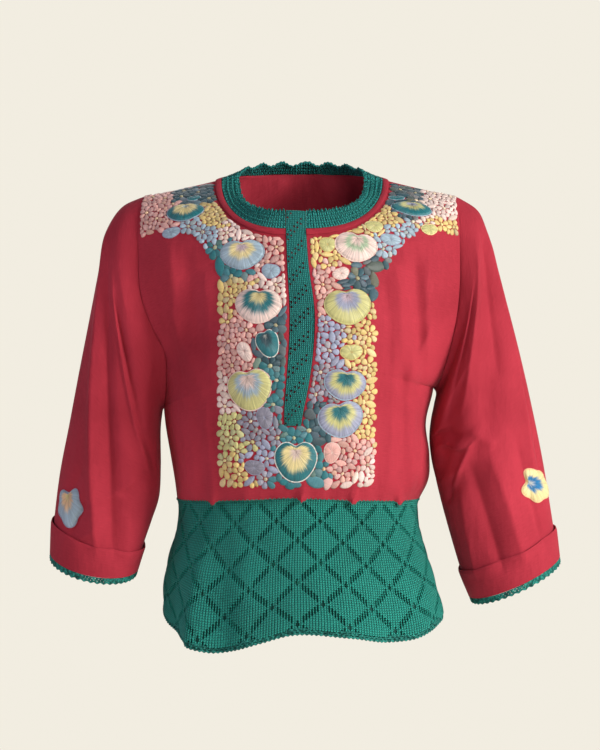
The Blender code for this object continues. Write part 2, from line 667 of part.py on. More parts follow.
def band_top(chain):
    """The neckband's upper edge, for each point of the neck seam."""
    last = len(chain) - 1
    front_steps = ROWS - NECK_ROW
    back_steps = ROWS - BACK_NECK_ROW
    top = []
    for k in range(last + 1):
        side = SIDES[0] if k <= last / 2 else SIDES[1]
        j = min(k, last - k)
        if j <= front_steps:
            turn, middle = 90 * j / front_steps, BAND_TOP_FRONT
            start = chain[0 if k == j else last][0]
        else:
            turn, middle = 90 - 90 * (j - front_steps) / back_steps, BAND_TOP_BACK
            start = side.sign * BACK_MIDDLE_HALF
        sin, cos = math.sin(math.radians(turn)), max(math.cos(math.radians(turn)), 0)
        x = lerp(start, side.sign * BAND_TOP_SIDE[0], sin**0.8)
        y = lerp(BAND_TOP_SIDE[1], middle.y, cos)
        z = lerp(BAND_TOP_SIDE[2], middle.z, cos**middle.power)
        top.append((x, y, z))
    return np.array(top)


def refined(points, count):
    """The polyline with each step divided evenly, its own corners kept."""
    at = np.linspace(0, len(points) - 1, (len(points) - 1) * count + 1)
    return np.stack([np.interp(at, np.arange(len(points)), points[:, k]) for k in range(3)], axis=-1)


def panel_cells():
    """Which cells the front and the back have: none in the slit, nor above the back neck's middle."""
    front, back = np.ones((2, ROWS, 2 * HALF_COLUMNS + 1), bool)
    front[SLIT_ROW:, LEFT_OF_SLIT] = False
    back[BACK_NECK_ROW:, LEFT_OF_SLIT] = False
    return front, back


def make_bodice(cotton):
    front, back = panel(False), panel(True)
    sleeves = {side.name: sleeve_rings(side, SLEEVE_STATIONS) for side in SIDES}
    core = np.array([0, 0, -0.2])
    front_keep, back_keep = panel_cells()
    front_normals = normals_of(front, core, keep=front_keep)
    back_normals = normals_of(back, core, keep=back_keep)
    sleeve_normals = {
        name: normals_of(rings, rings.mean(axis=1, keepdims=True), True) for name, rings in sleeves.items()
    }
    arm = slice(UNDERARM_ROW, ROWS + 1)
    around = 2 * (ROWS - UNDERARM_ROW)
    for columns in (slice(0, LEFT_OF_SLIT + 1), slice(RIGHT_OF_SLIT, None)):
        share(front_normals[ROWS, columns], back_normals[ROWS, columns])
    for side, column in ((SIDES[0], 0), (SIDES[1], -1)):
        share(front_normals[:, column], back_normals[:, column])
        ring = sleeve_normals[side.name][0]
        forward = np.arange(0, ROWS - UNDERARM_ROW + 1)
        backward = (around - forward) % around
        front_edge = unit(front_normals[arm, column] + ring[forward])
        back_edge = unit(back_normals[arm, column] + ring[backward])
        front_edge[0] = back_edge[0] = unit(front_edge[0] + back_edge[0])
        front_edge[-1] = back_edge[-1] = unit(front_edge[-1] + back_edge[-1])
        front_normals[arm, column], back_normals[arm, column] = front_edge, back_edge
        ring[forward], ring[backward] = front_edge, back_edge

    chain = along_neck(front, back)
    stand = np.array([chain, band_top(chain)])
    mitre = unit(along_neck(front_normals, back_normals) + normals_of(stand, np.array([0, 0, -0.1]))[0])
    for (is_back, r, c), normal in zip(neck_places(), mitre):
        (back_normals if is_back else front_normals)[r, c] = normal
        if r == ROWS:
            front_normals[r, c] = back_normals[r, c] = normal

    raised = front + front_normals * RELIEF * embroidered(front)[..., None]
    for name, points, top, normals, keep in (
        ("front", front, raised, front_normals, front_keep),
        ("back", back, back, back_normals, back_keep),
    ):
        under = points - normals * COTTON
        cloth(name, trimmed(top, SEAM_GAP / 2), trimmed(under, SEAM_GAP / 2), cotton, keep)
    for side in SIDES:
        rings, normals = sleeves[side.name], sleeve_normals[side.name]
        outer = trimmed(rings, SEAM_GAP, True, False, False, False)
        inner = trimmed(rings - normals * COTTON, SEAM_GAP, True, False, False, False)
        cloth(f"sleeve_{side.name}", outer, inner, cotton, wrap=True)
    return front, front_normals, raised, back, back_normals, sleeves, sleeve_normals


def make_cuffs(sleeves, sleeve_normals, cotton, crochet):
    for side in SIDES:
        rings, normals = sleeves[side.name], sleeve_normals[side.name]
        first = SLEEVE_STATIONS.index(CUFF_TOP)
        under = rings[first:] + normals[first:] * LIFT
        flare = np.linspace(CUFF_FLARE, 0.0, len(under))[:, None, None]
        under = under + normals[first:] * flare
        cloth(f"cuff_{side.name}", under + normals[first:] * COTTON, under, cotton, wrap=True)
        down = unit(rings[-1] - rings[-2])
        start = rings[-1] + down * SEAM_GAP + normals[-1] * COTTON / 2
        end = start + down * CUFF_EDGING
        edge = np.array([start, lerp(start, end, 0.5), end])
        out = np.broadcast_to(normals[-1], edge.shape) * CROCHET / 2
        cloth(f"cuff_edging_{side.name}", edge + out, edge - out, crochet, wrap=True)


def make_neckband(chain, chain_normals, crochet):
    seam = refined(chain - chain_normals * COTTON / 2, BAND_STEPS)
    top = refined(band_top(chain), BAND_STEPS)
    share_along = np.linspace(0, 1, len(seam))[:, None]
    wave = np.cos(2 * np.pi * SCALLOPS * share_along)
    rise = unit(top - seam)
    grid = np.array([lerp(seam + rise * BAND_GAP, top, f) for f in (0.0, 0.55, 1.0)])
    normals = normals_of(grid, np.array([0, 0, -0.1]))
    normals[0] = unit(refined(chain_normals, BAND_STEPS))
    grid[2] += rise * SCALLOP_HEIGHT * wave + normals[2] * SCALLOP_RUFFLE * wave
    grid = trimmed(grid, SEAM_GAP, False, False, True, True)
    half = normals * CROCHET / 2
    cloth("neckband", grid + half, grid - half, crochet)


def make_binding(front, front_normals, back, back_normals, cotton):
    """A narrow strip on the panels, just outside the neck seam."""
    track = neck_track(BINDING_STEPS)
    grids = [(back, back_normals) if is_back else (front, front_normals) for is_back, _, _ in track]
    places = [np.array([r, c], float) for _, r, c in track]
    chain = np.array([surface_at(grid, at) for (grid, _), at in zip(grids, places)])
    chain_normals = unit(np.array([surface_at(normals, at) for (_, normals), at in zip(grids, places)]))
    tangent = unit(np.gradient(chain, axis=0))
    away = unit(np.cross(chain_normals, tangent))
    if (away * (chain - chain.mean(axis=0))).sum(axis=1).mean() < 0:
        away = -away
    rows = []
    for width in (BINDING_WIDTH * 0.03, BINDING_WIDTH * 0.5, BINDING_WIDTH):
        points = []
        for k, ((grid, normals), at) in enumerate(zip(grids, places)):
            aside = np.sign(at[1] - (LEFT_OF_SLIT + RIGHT_OF_SLIT) / 2)
            start = at + [-0.2, 0.4 * aside]
            axes = np.array([tangent[k], away[k]])
            at = locate(grid, start, chain[k], axes, np.array([[0.0, width]]))
            points.append(surface_at(grid, at)[0] + unit(surface_at(normals, at))[0] * BINDING_LIFT)
        rows.append(np.array(points))
    strip = np.array(rows)
    up = normals_of(strip, np.array([0, 0, -0.1]))
    strip = trimmed(strip, SEAM_GAP, False, False, True, True)
    cloth("neck_binding", strip + up * BINDING, strip, cotton)


def make_placket(front, top, crochet):
    """The strip that fills the slit and runs on up between the neckband's two ends."""
    left = front[SLIT_ROW : NECK_ROW + 1, LEFT_OF_SLIT]
    right = front[SLIT_ROW : NECK_ROW + 1, RIGHT_OF_SLIT]
    left = np.concatenate([left, [lerp(left[-1], top[0], f) for f in (0.5, 1.0)]])
    right = np.concatenate([right, [lerp(right[-1], top[-1], f) for f in (0.5, 1.0)]])
    left[0, 2] += SEAM_GAP
    right[0, 2] += SEAM_GAP
    grid = np.stack([lerp(left, right, f) for f in np.linspace(0, 1, 5)], axis=1)
    normals = normals_of(grid, np.array([0, 0, -0.2]))
    grid = trimmed(grid, SEAM_GAP, False, False, True, True)
    half = normals * CROCHET / 2
    cloth("placket", grid + half, grid - half, crochet)


def make_peplum(knit, crochet):
    for name, first, last in (("front", -90, 90), ("back", 90, 270)):
        points, keep = peplum_half(first, last)
        normals = normals_of(points, np.array([0, 0, -0.46]))
        for column in (0, -1):
            normals[:, column] = unit(normals[:, column] * [1, 0, 1])
        outer = trimmed(points, SEAM_GAP / 2)
        inner = trimmed(points - normals * KNIT, SEAM_GAP / 2)
        cloth(f"peplum_{name}", outer, inner, knit, keep)
        down = np.array([0, 0, -1.0])
        start = points[-1] + down * SEAM_GAP / 2
        edge = np.array([start, start + down * HEM_EDGING])
        out = normals[-1] * (KNIT - CROCHET) / 2
        outside = trimmed(edge - out, SEAM_GAP / 2, False, False)
        inside = trimmed(edge - out - normals[-1] * CROCHET, SEAM_GAP / 2, False, False)
        cloth(f"hem_edging_{name}", outside, inside, crochet)


def make_flowers(raised, front_normals, sleeves, sleeve_normals):
    satin = {name: fabric(f"satin_{name}", colour, 0.45) for name, colour in SATIN.items()}
    flat = np.array([[1.0, 0, 0], [0, 0, 1.0]])
    for row, tint in zip(FLOWERS, FLOWER_TINTS):
        target = np.array([row.x, 0, row.z])
        away = np.abs(raised - target)[..., [0, 2]].sum(axis=-1)
        start = np.unravel_index(np.argmin(away), away.shape)
        at = locate(raised, start, np.zeros(3), flat, np.array([[row.x, row.z]]))[0]
        up = unit(surface_at(front_normals, at))
        sideways = unit(np.cross([0, 0, 1.0], -up))
        sideways *= np.sign(sideways[0])
        axes = np.array([sideways, unit(np.cross(up, sideways))])
        axes[1] *= np.sign(axes[1][2])
        size = (row.width, row.height, row.turn, row.notch)
        flower(row.name, raised, front_normals, at, axes, size, LIFT, satin[tint])
    for row, tint in zip(SLEEVE_FLOWERS, SLEEVE_TINTS):
        rings, normals = sleeves[row.side], sleeve_normals[row.side]
        station = np.interp(row.s, SLEEVE_STATIONS, range(len(SLEEVE_STATIONS)))
        at = np.array([station, row.turn / 360 * rings.shape[1]])
        up = unit(surface_at(normals, at))
        sideways = unit(np.cross([0, 0, 1.0], up))
        sideways *= np.sign(sideways[0])
        axes = np.array([sideways, unit(np.cross(up, sideways))])
        axes[1] *= np.sign(axes[1][2])
        size = (row.width, row.height, row.lean, row.notch)
        flower(row.name, rings, normals, at, axes, size, SLEEVE_LIFT, satin[tint])


def main():
    for old in list(bpy.data.objects):
        bpy.data.objects.remove(old, do_unlink=True)
    cotton = fabric("red_cotton", RED, 0.75)
    knit = fabric("green_knit", GREEN, 0.85)
    crochet = fabric("green_crochet", GREEN, 0.85)
    front, front_normals, raised, back, back_normals, sleeves, sleeve_normals = make_bodice(cotton)
    make_cuffs(sleeves, sleeve_normals, cotton, crochet)
    chain = along_neck(front, back)
    make_neckband(chain, along_neck(front_normals, back_normals), crochet)
    make_binding(front, front_normals, back, back_normals, cotton)
    make_placket(front, band_top(chain), crochet)
    make_peplum(knit, crochet)
    make_flowers(raised, front_normals, sleeves, sleeve_normals)


main()
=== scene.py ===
"""The blouse as it looks: red cotton, a green knitted peplum, crochet trim and satin-stitch embroidery.

It lies on the solid model's form and uses the same tables of sizes. Metres; X runs to the wearer's left
and the front faces -Y.
"""

import math
from collections import namedtuple

import bpy
import numpy as np
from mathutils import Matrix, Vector
from mathutils.bvhtree import BVHTree
from mathutils.kdtree import KDTree


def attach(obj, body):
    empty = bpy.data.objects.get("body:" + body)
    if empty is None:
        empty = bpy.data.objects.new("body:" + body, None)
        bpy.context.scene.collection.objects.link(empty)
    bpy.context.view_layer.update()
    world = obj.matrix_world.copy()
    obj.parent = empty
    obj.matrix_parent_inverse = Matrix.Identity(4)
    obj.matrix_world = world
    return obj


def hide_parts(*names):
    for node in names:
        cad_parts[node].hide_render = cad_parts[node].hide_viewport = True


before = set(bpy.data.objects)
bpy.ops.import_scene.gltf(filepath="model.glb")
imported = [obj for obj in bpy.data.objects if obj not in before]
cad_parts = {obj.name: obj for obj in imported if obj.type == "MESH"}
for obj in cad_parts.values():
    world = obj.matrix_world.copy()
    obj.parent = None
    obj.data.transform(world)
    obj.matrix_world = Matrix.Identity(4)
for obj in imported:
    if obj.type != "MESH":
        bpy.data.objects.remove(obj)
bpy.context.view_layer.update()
chance = np.random.default_rng(7)

COTTON = 0.0015
KNIT = 0.0022
BINDING = 0.0010
BAND_GAP = 0.0008
CROCHET = 0.0020

# Grid sizes: rows run from the waist seam up to the shoulder line, columns from the slit out to the side.
ROWS = 18
UNDERARM_ROW = 6
SLIT_ROW = 3
NECK_ROW = 12
BACK_NECK_ROW = 13

WAIST_FRONT_Z = -0.386
WAIST_SIDE_Z = -0.394
WAIST_BACK_Z = -0.392
SLIT_BOTTOM_Z = -0.300
NECK_FRONT = (-0.104, -0.0665)
NECK_SIDE = (0.101, 0.0, 0.0035)
NECK_BACK = (0.078, 0.020)
BACK_MIDDLE_HALF = 0.012

Level = namedtuple("Level", "z right left front back")
BODICE = (
    Level(-0.394, -0.1556, 0.1460, -0.1130, 0.0960),
    Level(-0.372, -0.1585, 0.1570, -0.1200, 0.1000),
    Level(-0.340, -0.1640, 0.1590, -0.1240, 0.1020),
    Level(-0.300, -0.1710, 0.1545, -0.1260, 0.1040),
    Level(-0.256, -0.1750, 0.1640, -0.1260, 0.1060),
    Level(-0.200, -0.1750, 0.1640, -0.1250, 0.1080),
    Level(-0.130, -0.1750, 0.1640, -0.1180, 0.1060),
    Level(-0.066, -0.1750, 0.1640, -0.1040, 0.0980),
    Level(0.020, -0.1750, 0.1640, -0.1000, 0.0780),
)

Strip = namedtuple("Strip", "z centre half")
PLACKET = (
    Strip(-0.300, -0.0110, 0.0100),
    Strip(-0.285, -0.0100, 0.0115),
    Strip(-0.255, -0.0060, 0.0135),
    Strip(-0.205, -0.0010, 0.0150),
    Strip(-0.170, 0.0000, 0.0152),
    Strip(-0.110, -0.0050, 0.0130),
    Strip(-0.066, -0.0075, 0.0122),
)

Side = namedtuple("Side", "name sign underarm_x underarm_z tip_x tip_z depth_front depth_back")
SIDES = (
    Side("right", -1, -0.1725, -0.280, -0.199, -0.0175, 0.058, 0.060),
    Side("left", 1, 0.1640, -0.256, 0.194, -0.0175, 0.058, 0.060),
)

# How far out the armhole seam lies, from the underarm (0) to the shoulder tip (1).
Reach = namedtuple("Reach", "w right left")
ARMHOLE = (
    Reach(0.00, -0.1725, 0.1640),
    Reach(0.12, -0.1690, 0.1700),
    Reach(0.24, -0.1665, 0.1770),
    Reach(0.34, -0.1680, 0.1840),
    Reach(0.42, -0.1830, 0.1890),
    Reach(0.50, -0.1950, 0.1920),
    Reach(0.65, -0.2000, 0.1930),
    Reach(0.80, -0.2010, 0.1935),
    Reach(1.00, -0.1990, 0.1940),
)

Turn = namedtuple("Turn", "w degrees")
EDGE_TURN = (Turn(0.0, 90), Turn(0.15, 76), Turn(0.35, 60), Turn(0.6, 52), Turn(1.0, 42))

# Sleeve rings, seen from the front: the inner and the outer end of each, its front and back, and how much
# lower its front hangs than its back.
Ring = namedtuple("Ring", "s in_x in_z out_x out_z front back drop")
SLEEVES = {
    "right": (
        Ring(0.06, -0.1755, -0.2850, -0.2230, -0.0290, -0.060, 0.062, 0.000),
        Ring(0.14, -0.1765, -0.2950, -0.2440, -0.0600, -0.063, 0.063, 0.000),
        Ring(0.25, -0.1770, -0.3100, -0.2540, -0.1130, -0.064, 0.060, 0.002),
        Ring(0.36, -0.1765, -0.3300, -0.2650, -0.1710, -0.064, 0.056, 0.004),
        Ring(0.48, -0.1760, -0.3550, -0.2770, -0.2340, -0.064, 0.050, 0.006),
        Ring(0.61, -0.1775, -0.3900, -0.2890, -0.3000, -0.065, 0.044, 0.009),
        Ring(0.75, -0.1865, -0.4200, -0.3000, -0.3600, -0.066, 0.036, 0.012),
        Ring(0.88, -0.1965, -0.4500, -0.3065, -0.4170, -0.067, 0.028, 0.014),
        Ring(1.00, -0.2040, -0.4780, -0.3095, -0.4560, -0.068, 0.026, 0.016),
    ),
    "left": (
        Ring(0.06, 0.1675, -0.2620, 0.2180, -0.0330, -0.060, 0.062, 0.000),
        Ring(0.14, 0.1650, -0.2760, 0.2310, -0.0620, -0.063, 0.063, 0.000),
        Ring(0.25, 0.1610, -0.2960, 0.2430, -0.1070, -0.064, 0.060, 0.000),
        Ring(0.36, 0.1590, -0.3190, 0.2580, -0.1620, -0.064, 0.056, 0.001),
        Ring(0.48, 0.1615, -0.3460, 0.2720, -0.2180, -0.064, 0.050, 0.002),
        Ring(0.61, 0.1680, -0.3760, 0.2850, -0.2770, -0.065, 0.044, 0.003),
        Ring(0.75, 0.1790, -0.4200, 0.2990, -0.3490, -0.066, 0.036, 0.005),
        Ring(0.88, 0.1960, -0.4790, 0.3110, -0.4270, -0.067, 0.028, 0.007),
        Ring(1.00, 0.2080, -0.5120, 0.3165, -0.4620, -0.068, 0.026, 0.008),
    ),
}
CAP_REACH = 0.36
CUFF_TOP = 0.88
CUFF_FLARE = 0.0012
CUFF_EDGING = 0.007

# Long folds of the sleeves: where round the sleeve they start and end (0 underarm, 90 front, 180 outside).
SleeveFold = namedtuple("SleeveFold", "side turn_top turn_low s_top s_low width height")
SLEEVE_FOLDS = (
    SleeveFold("right", 150, 84, 0.12, 0.90, 16, 0.0050),
    SleeveFold("right", 108, 60, 0.10, 0.52, 18, -0.0050),
    SleeveFold("right", 230, 262, 0.10, 0.70, 20, 0.0045),
    SleeveFold("left", 158, 140, 0.10, 0.52, 16, 0.0045),
    SleeveFold("left", 128, 96, 0.10, 0.60, 18, -0.0050),
    SleeveFold("left", 70, 20, 0.30, 0.60, 18, -0.0060),
    SleeveFold("left", 225, 258, 0.12, 0.66, 20, 0.0045),
)

# Folds of the bodice as straight ridges or troughs from one point (x, z) to another.
Fold = namedtuple("Fold", "face x_top z_top x_low z_low width height")
BODICE_FOLDS = (
    Fold("front", 0.127, -0.190, 0.133, -0.350, 0.014, 0.0040),
    Fold("front", 0.150, -0.150, 0.112, -0.300, 0.016, -0.0030),
    Fold("front", -0.140, -0.190, -0.126, -0.370, 0.016, 0.0035),
    Fold("front", -0.160, -0.240, -0.150, -0.380, 0.012, -0.0030),
    Fold("front", -0.080, -0.300, -0.086, -0.380, 0.014, 0.0025),
    Fold("front", 0.070, -0.300, 0.074, -0.380, 0.014, 0.0025),
    Fold("back", -0.120, -0.160, -0.105, -0.360, 0.018, 0.0040),
    Fold("back", 0.118, -0.150, 0.100, -0.350, 0.018, 0.0045),
    Fold("back", 0.010, -0.230, -0.004, -0.370, 0.016, 0.0030),
)
BUST = (0.078, -0.185, 0.055, 0.008)

# The embroidered bib: its sides, its foot, and the lower edge of the shoulder pieces.
BIB_RIGHT_X = -0.0990
BIB_LEFT_X = 0.0870
BIB_SHOULDER_X = 0.080
BAND_FOOT_Z = -0.372
Edge = namedtuple("Edge", "x z")
SHOULDER_EDGE = (Edge(0.098, -0.116), Edge(0.124, -0.078), Edge(0.148, -0.066), Edge(0.200, -0.072))

PEPLUM = (
    Level(-0.386, -0.1568, 0.1500, -0.1158, 0.0976),
    Level(-0.394, -0.1556, 0.1460, -0.1130, 0.0960),
    Level(-0.412, -0.1535, 0.1440, -0.1150, 0.0980),
    Level(-0.440, -0.1590, 0.1490, -0.1185, 0.1020),
    Level(-0.480, -0.1700, 0.1600, -0.1230, 0.1070),
    Level(-0.520, -0.1740, 0.1690, -0.1260, 0.1110),
    Level(-0.560, -0.1730, 0.1730, -0.1280, 0.1130),
)
DIAMONDS = 8
LATTICE_LEVELS = 6
LEVEL_STEP = 0.159
PEPLUM_RADIUS = 0.125
FOLD_GROWTH = 1.3
HEM_EDGING = 0.008

# The hem's height round the body, in degrees from the centre front towards the wearer's left.
HemPoint = namedtuple("HemPoint", "turn z")
HEM = (
    HemPoint(-180, -0.545),
    HemPoint(-120, -0.548),
    HemPoint(-90, -0.537),
    HemPoint(-76, -0.549),
    HemPoint(-60, -0.558),
    HemPoint(-48, -0.564),
    HemPoint(-36, -0.572),
    HemPoint(-28, -0.568),
    HemPoint(-16, -0.558),
    HemPoint(-5, -0.549),
    HemPoint(19, -0.552),
    HemPoint(37, -0.560),
    HemPoint(50, -0.559),
    HemPoint(62, -0.551),
    HemPoint(88, -0.534),
    HemPoint(130, -0.541),
    HemPoint(180, -0.545),
)

PeplumFold = namedtuple("PeplumFold", "turn width height")
PEPLUM_FOLDS = (
    PeplumFold(-43, 12, 0.0115),
    PeplumFold(-72, 12, -0.0030),
    PeplumFold(62, 16, 0.0060),
    PeplumFold(128, 18, 0.0080),
    PeplumFold(-135, 18, 0.0080),
)

# The neckband's upper edge: its middle at the front and at the back, with how sharply it dips there.
Dip = namedtuple("Dip", "y z power")
BAND_TOP_FRONT = Dip(-0.098, -0.0440, 0.62)
BAND_TOP_BACK = Dip(0.058, 0.031, 0.9)
BAND_TOP_SIDE = (0.078, 0.0, 0.009)
SCALLOPS = 18
SCALLOP_HEIGHT = 0.0022
TOOTH_HEIGHT = 0.0028
TOOTH_LIFT = 0.0026

# The padded flowers: where their middles lie, seen from the front, their size and their turn in degrees.
Flower = namedtuple("Flower", "name x z width height turn notch")
FLOWERS = (
    Flower("flower_shoulder_right", -0.1420, -0.0420, 0.046, 0.030, 6, 0.12),
    Flower("flower_band_right_top", -0.0710, -0.0965, 0.053, 0.035, 4, 0.10),
    Flower("flower_band_right_upper", -0.0520, -0.1575, 0.055, 0.042, -4, 0.12),
    Flower("flower_band_right_small", -0.0405, -0.2020, 0.026, 0.034, 20, 0.16),
    Flower("flower_band_right_low", -0.0620, -0.2560, 0.053, 0.050, 8, 0.14),
    Flower("flower_foot", -0.0075, -0.3400, 0.049, 0.050, 0, 0.24),
    Flower("flower_band_left_top", 0.0640, -0.0875, 0.051, 0.034, -8, 0.10),
    Flower("flower_band_left_upper", 0.0540, -0.1585, 0.055, 0.043, 6, 0.12),
    Flower("flower_band_left_low", 0.0505, -0.2510, 0.050, 0.036, -6, 0.12),
    Flower("flower_band_left_foot", 0.0455, -0.2915, 0.054, 0.042, 8, 0.12),
    Flower("flower_shoulder_left", 0.1330, -0.0380, 0.050, 0.026, -10, 0.10),
)
SleeveFlower = namedtuple("SleeveFlower", "name side s turn width height lean notch")
SLEEVE_FLOWERS = (
    SleeveFlower("flower_sleeve_right", "right", 0.80, 134, 0.036, 0.046, 8, 0.14),
    SleeveFlower("flower_sleeve_left", "left", 0.775, 140, 0.038, 0.050, 70, 0.20),
)


def through(knots, values, at):
    """Smooth curve through the values at the knots: a cubic Hermite spline."""
    knots, values, at = (np.asarray(a, float) for a in (knots, values, at))
    slopes = np.gradient(values, knots, axis=0)
    at = np.clip(at, knots[0], knots[-1])
    k = np.clip(np.searchsorted(knots, at, "right") - 1, 0, len(knots) - 2)
    span = knots[k + 1] - knots[k]
    f = (at - knots[k]) / span
    shape = f.shape + (1,) * (values.ndim - 1)
    f, span = f.reshape(shape), span.reshape(shape)
    return (
        values[k] * (2 * f**3 - 3 * f**2 + 1)
        + values[k + 1] * (3 * f**2 - 2 * f**3)
        + slopes[k] * span * (f**3 - 2 * f**2 + f)
        + slopes[k + 1] * span * (f**3 - f**2)
    )


def read(table, column, at, key="z"):
    """The column of a table, read smoothly at the values of its key column."""
    rows = sorted(table, key=lambda row: getattr(row, key))
    return through([getattr(r, key) for r in rows], [getattr(r, column) for r in rows], at)


def lerp(a, b, f):
    return a + (b - a) * f


def unit(vectors):
    return vectors / np.maximum(np.linalg.norm(vectors, axis=-1, keepdims=True), 1e-12)


def ridge(x, z, fold, power=2.0):
    """Height of a fold over the points (x, z), fading at both ends. A lower power makes it sharper."""
    start = np.array([fold.x_top, fold.z_top])
    line = np.array([fold.x_low, fold.z_low]) - start
    length = np.linalg.norm(line)
    line /= length
    offset = np.stack([x, z], axis=-1) - start
    f = offset @ line / length
    aside = np.abs(offset @ np.array([-line[1], line[0]]))
    fade = np.clip(1.2 - np.abs(2 * f - 1) ** 3 * 1.2, 0, 1)
    return fold.height * np.exp(-((aside / fold.width) ** power)) * fade


def waist_z(turn):
    """Height of the waist seam at an angle from the centre front, in degrees."""
    side = np.abs(np.sin(np.radians(turn)))
    middle = np.where(np.abs(turn) <= 90, WAIST_FRONT_Z, WAIST_BACK_Z)
    return lerp(middle, WAIST_SIDE_Z, side)


def armhole(side, w, back):
    """Points of the armhole seam, from the underarm (0) to the shoulder tip (1)."""
    middle = (side.tip_z + side.underarm_z) / 2
    half = (side.tip_z - side.underarm_z) / 2
    depth = side.depth_back if back else -side.depth_front
    x = read(ARMHOLE, side.name, w, "w")
    y = depth * np.sin(np.pi * w) ** 0.8 + lerp(0.0, 0.004, w)
    return np.stack([x, y, middle - half * np.cos(np.pi * w)], axis=-1)


def neck_point(side, start, middle, turn):
    """A point of the neck seam, from its corner at the centre (0 degrees) to the shoulder (90)."""
    sin, cos = np.sin(np.radians(turn)), np.cos(np.radians(turn))
    x = lerp(start, side.sign * NECK_SIDE[0], sin**0.8)
    y = lerp(NECK_SIDE[1], middle[0], cos)
    z = lerp(NECK_SIDE[2], middle[1], cos)
    return np.stack([x, y, z], axis=-1)


def petal_radius(angle, width, height, notch):
    """Outline of a rounded heart-like flower, with its notch at the top."""
    oval = 0.5 / np.sqrt((np.cos(angle) / width) ** 2 + (np.sin(angle) / height) ** 2)
    from_top = np.abs((angle - np.pi / 2 + np.pi) % (2 * np.pi) - np.pi)
    lobes = 1 + 0.05 * np.cos(3 * (angle + np.pi / 2))
    return oval * lobes * (1 - notch * np.exp(-((from_top / 0.35) ** 2)))


def peplum_ring(turn, h):
    """Points of the peplum at these angles, at a share of its height down from the waist seam."""
    around = (turn + 180) % 360 - 180
    top, foot = waist_z(turn), read(HEM, "z", around, "turn") + HEM_EDGING
    z = lerp(top, foot, h)
    radians = np.radians(turn)
    sin, cos = np.sin(radians), np.cos(radians)
    side = np.where(sin < 0, -read(PEPLUM, "right", z), read(PEPLUM, "left", z))
    middle = (read(PEPLUM, "left", z) + read(PEPLUM, "right", z)) / 2 * np.cos(radians) ** 2
    side = np.where(sin < 0, side + middle, side - middle)
    depth = np.where(cos > 0, -read(PEPLUM, "front", z), read(PEPLUM, "back", z))
    push = np.zeros_like(turn)
    for fold in PEPLUM_FOLDS:
        aside = (turn - fold.turn + 180) % 360 - 180
        push = push + fold.height * np.exp(-((aside / fold.width) ** 2))
    grow = 1 + push * h**FOLD_GROWTH / PEPLUM_RADIUS
    return np.stack([middle + side * sin * grow, -depth * cos * grow, z], axis=-1)


# Finer grids than the solid model's, over the same surfaces.
FINE_ROWS = 126
FINE_HALF = 56
MIDDLE_COLUMNS = 7
SLEEVE_AROUND = 168
SLEEVE_ROWS = 124
NECK_STEPS = 70
SEAM_SINK = 0.0004
OVERLOCK_PITCH = 0.0027
OVERLOCK_LENGTH = 0.0036
OVERLOCK_THICK = 0.00042
BINDING_SEEN = 0.0068

# Extra creases of the panels: soft ridges and troughs from a point (x, z) to another.
CREASES = (
    Fold("front", -0.160, -0.075, -0.150, -0.205, 0.009, 0.0034),
    Fold("front", -0.142, -0.084, -0.116, -0.235, 0.012, -0.0040),
    Fold("front", -0.168, -0.150, -0.116, -0.270, 0.009, 0.0034),
    Fold("front", -0.160, -0.200, -0.124, -0.300, 0.009, -0.0034),
    Fold("front", -0.118, -0.110, -0.106, -0.260, 0.009, 0.0028),
    Fold("front", -0.130, -0.240, -0.118, -0.385, 0.008, -0.0040),
    Fold("front", -0.118, -0.270, -0.106, -0.392, 0.006, 0.0036),
    Fold("front", -0.150, -0.280, -0.136, -0.392, 0.007, 0.0040),
    Fold("front", -0.162, -0.300, -0.150, -0.392, 0.006, -0.0030),
    Fold("front", 0.098, -0.120, 0.110, -0.260, 0.008, -0.0026),
    Fold("front", 0.112, -0.100, 0.124, -0.245, 0.009, 0.0034),
    Fold("front", 0.134, -0.080, 0.142, -0.240, 0.010, -0.0044),
    Fold("front", 0.150, -0.100, 0.152, -0.250, 0.007, 0.0036),
    Fold("front", 0.160, -0.170, 0.124, -0.262, 0.008, 0.0038),
    Fold("front", 0.158, -0.215, 0.128, -0.280, 0.008, -0.0040),
    Fold("front", 0.122, -0.200, 0.120, -0.392, 0.008, -0.0052),
    Fold("front", 0.110, -0.190, 0.106, -0.392, 0.006, 0.0036),
    Fold("front", 0.136, -0.270, 0.132, -0.392, 0.008, 0.0040),
    Fold("front", 0.148, -0.290, 0.141, -0.392, 0.006, -0.0032),
    Fold("back", -0.060, -0.080, -0.085, -0.300, 0.014, 0.0034),
    Fold("back", 0.055, -0.070, 0.070, -0.280, 0.016, 0.0034),
    Fold("back", -0.090, -0.240, -0.070, -0.392, 0.009, -0.0040),
    Fold("back", 0.085, -0.250, 0.075, -0.392, 0.009, -0.0040),
    Fold("back", -0.035, -0.280, -0.030, -0.392, 0.008, 0.0036),
    Fold("back", 0.040, -0.290, 0.036, -0.392, 0.008, 0.0036),
    Fold("back", -0.150, -0.110, -0.110, -0.250, 0.010, 0.0040),
    Fold("back", 0.150, -0.110, 0.108, -0.240, 0.010, 0.0040),
    Fold("back", -0.130, -0.250, -0.118, -0.392, 0.008, 0.0036),
    Fold("back", 0.128, -0.260, 0.120, -0.392, 0.008, 0.0036),
    Fold("back", -0.020, 0.016, -0.050, -0.030, 0.006, -0.0016),
    Fold("back", 0.020, 0.016, 0.046, -0.034, 0.006, -0.0016),
    Fold("back", 0.000, 0.012, 0.000, -0.090, 0.0024, 0.0014),
)
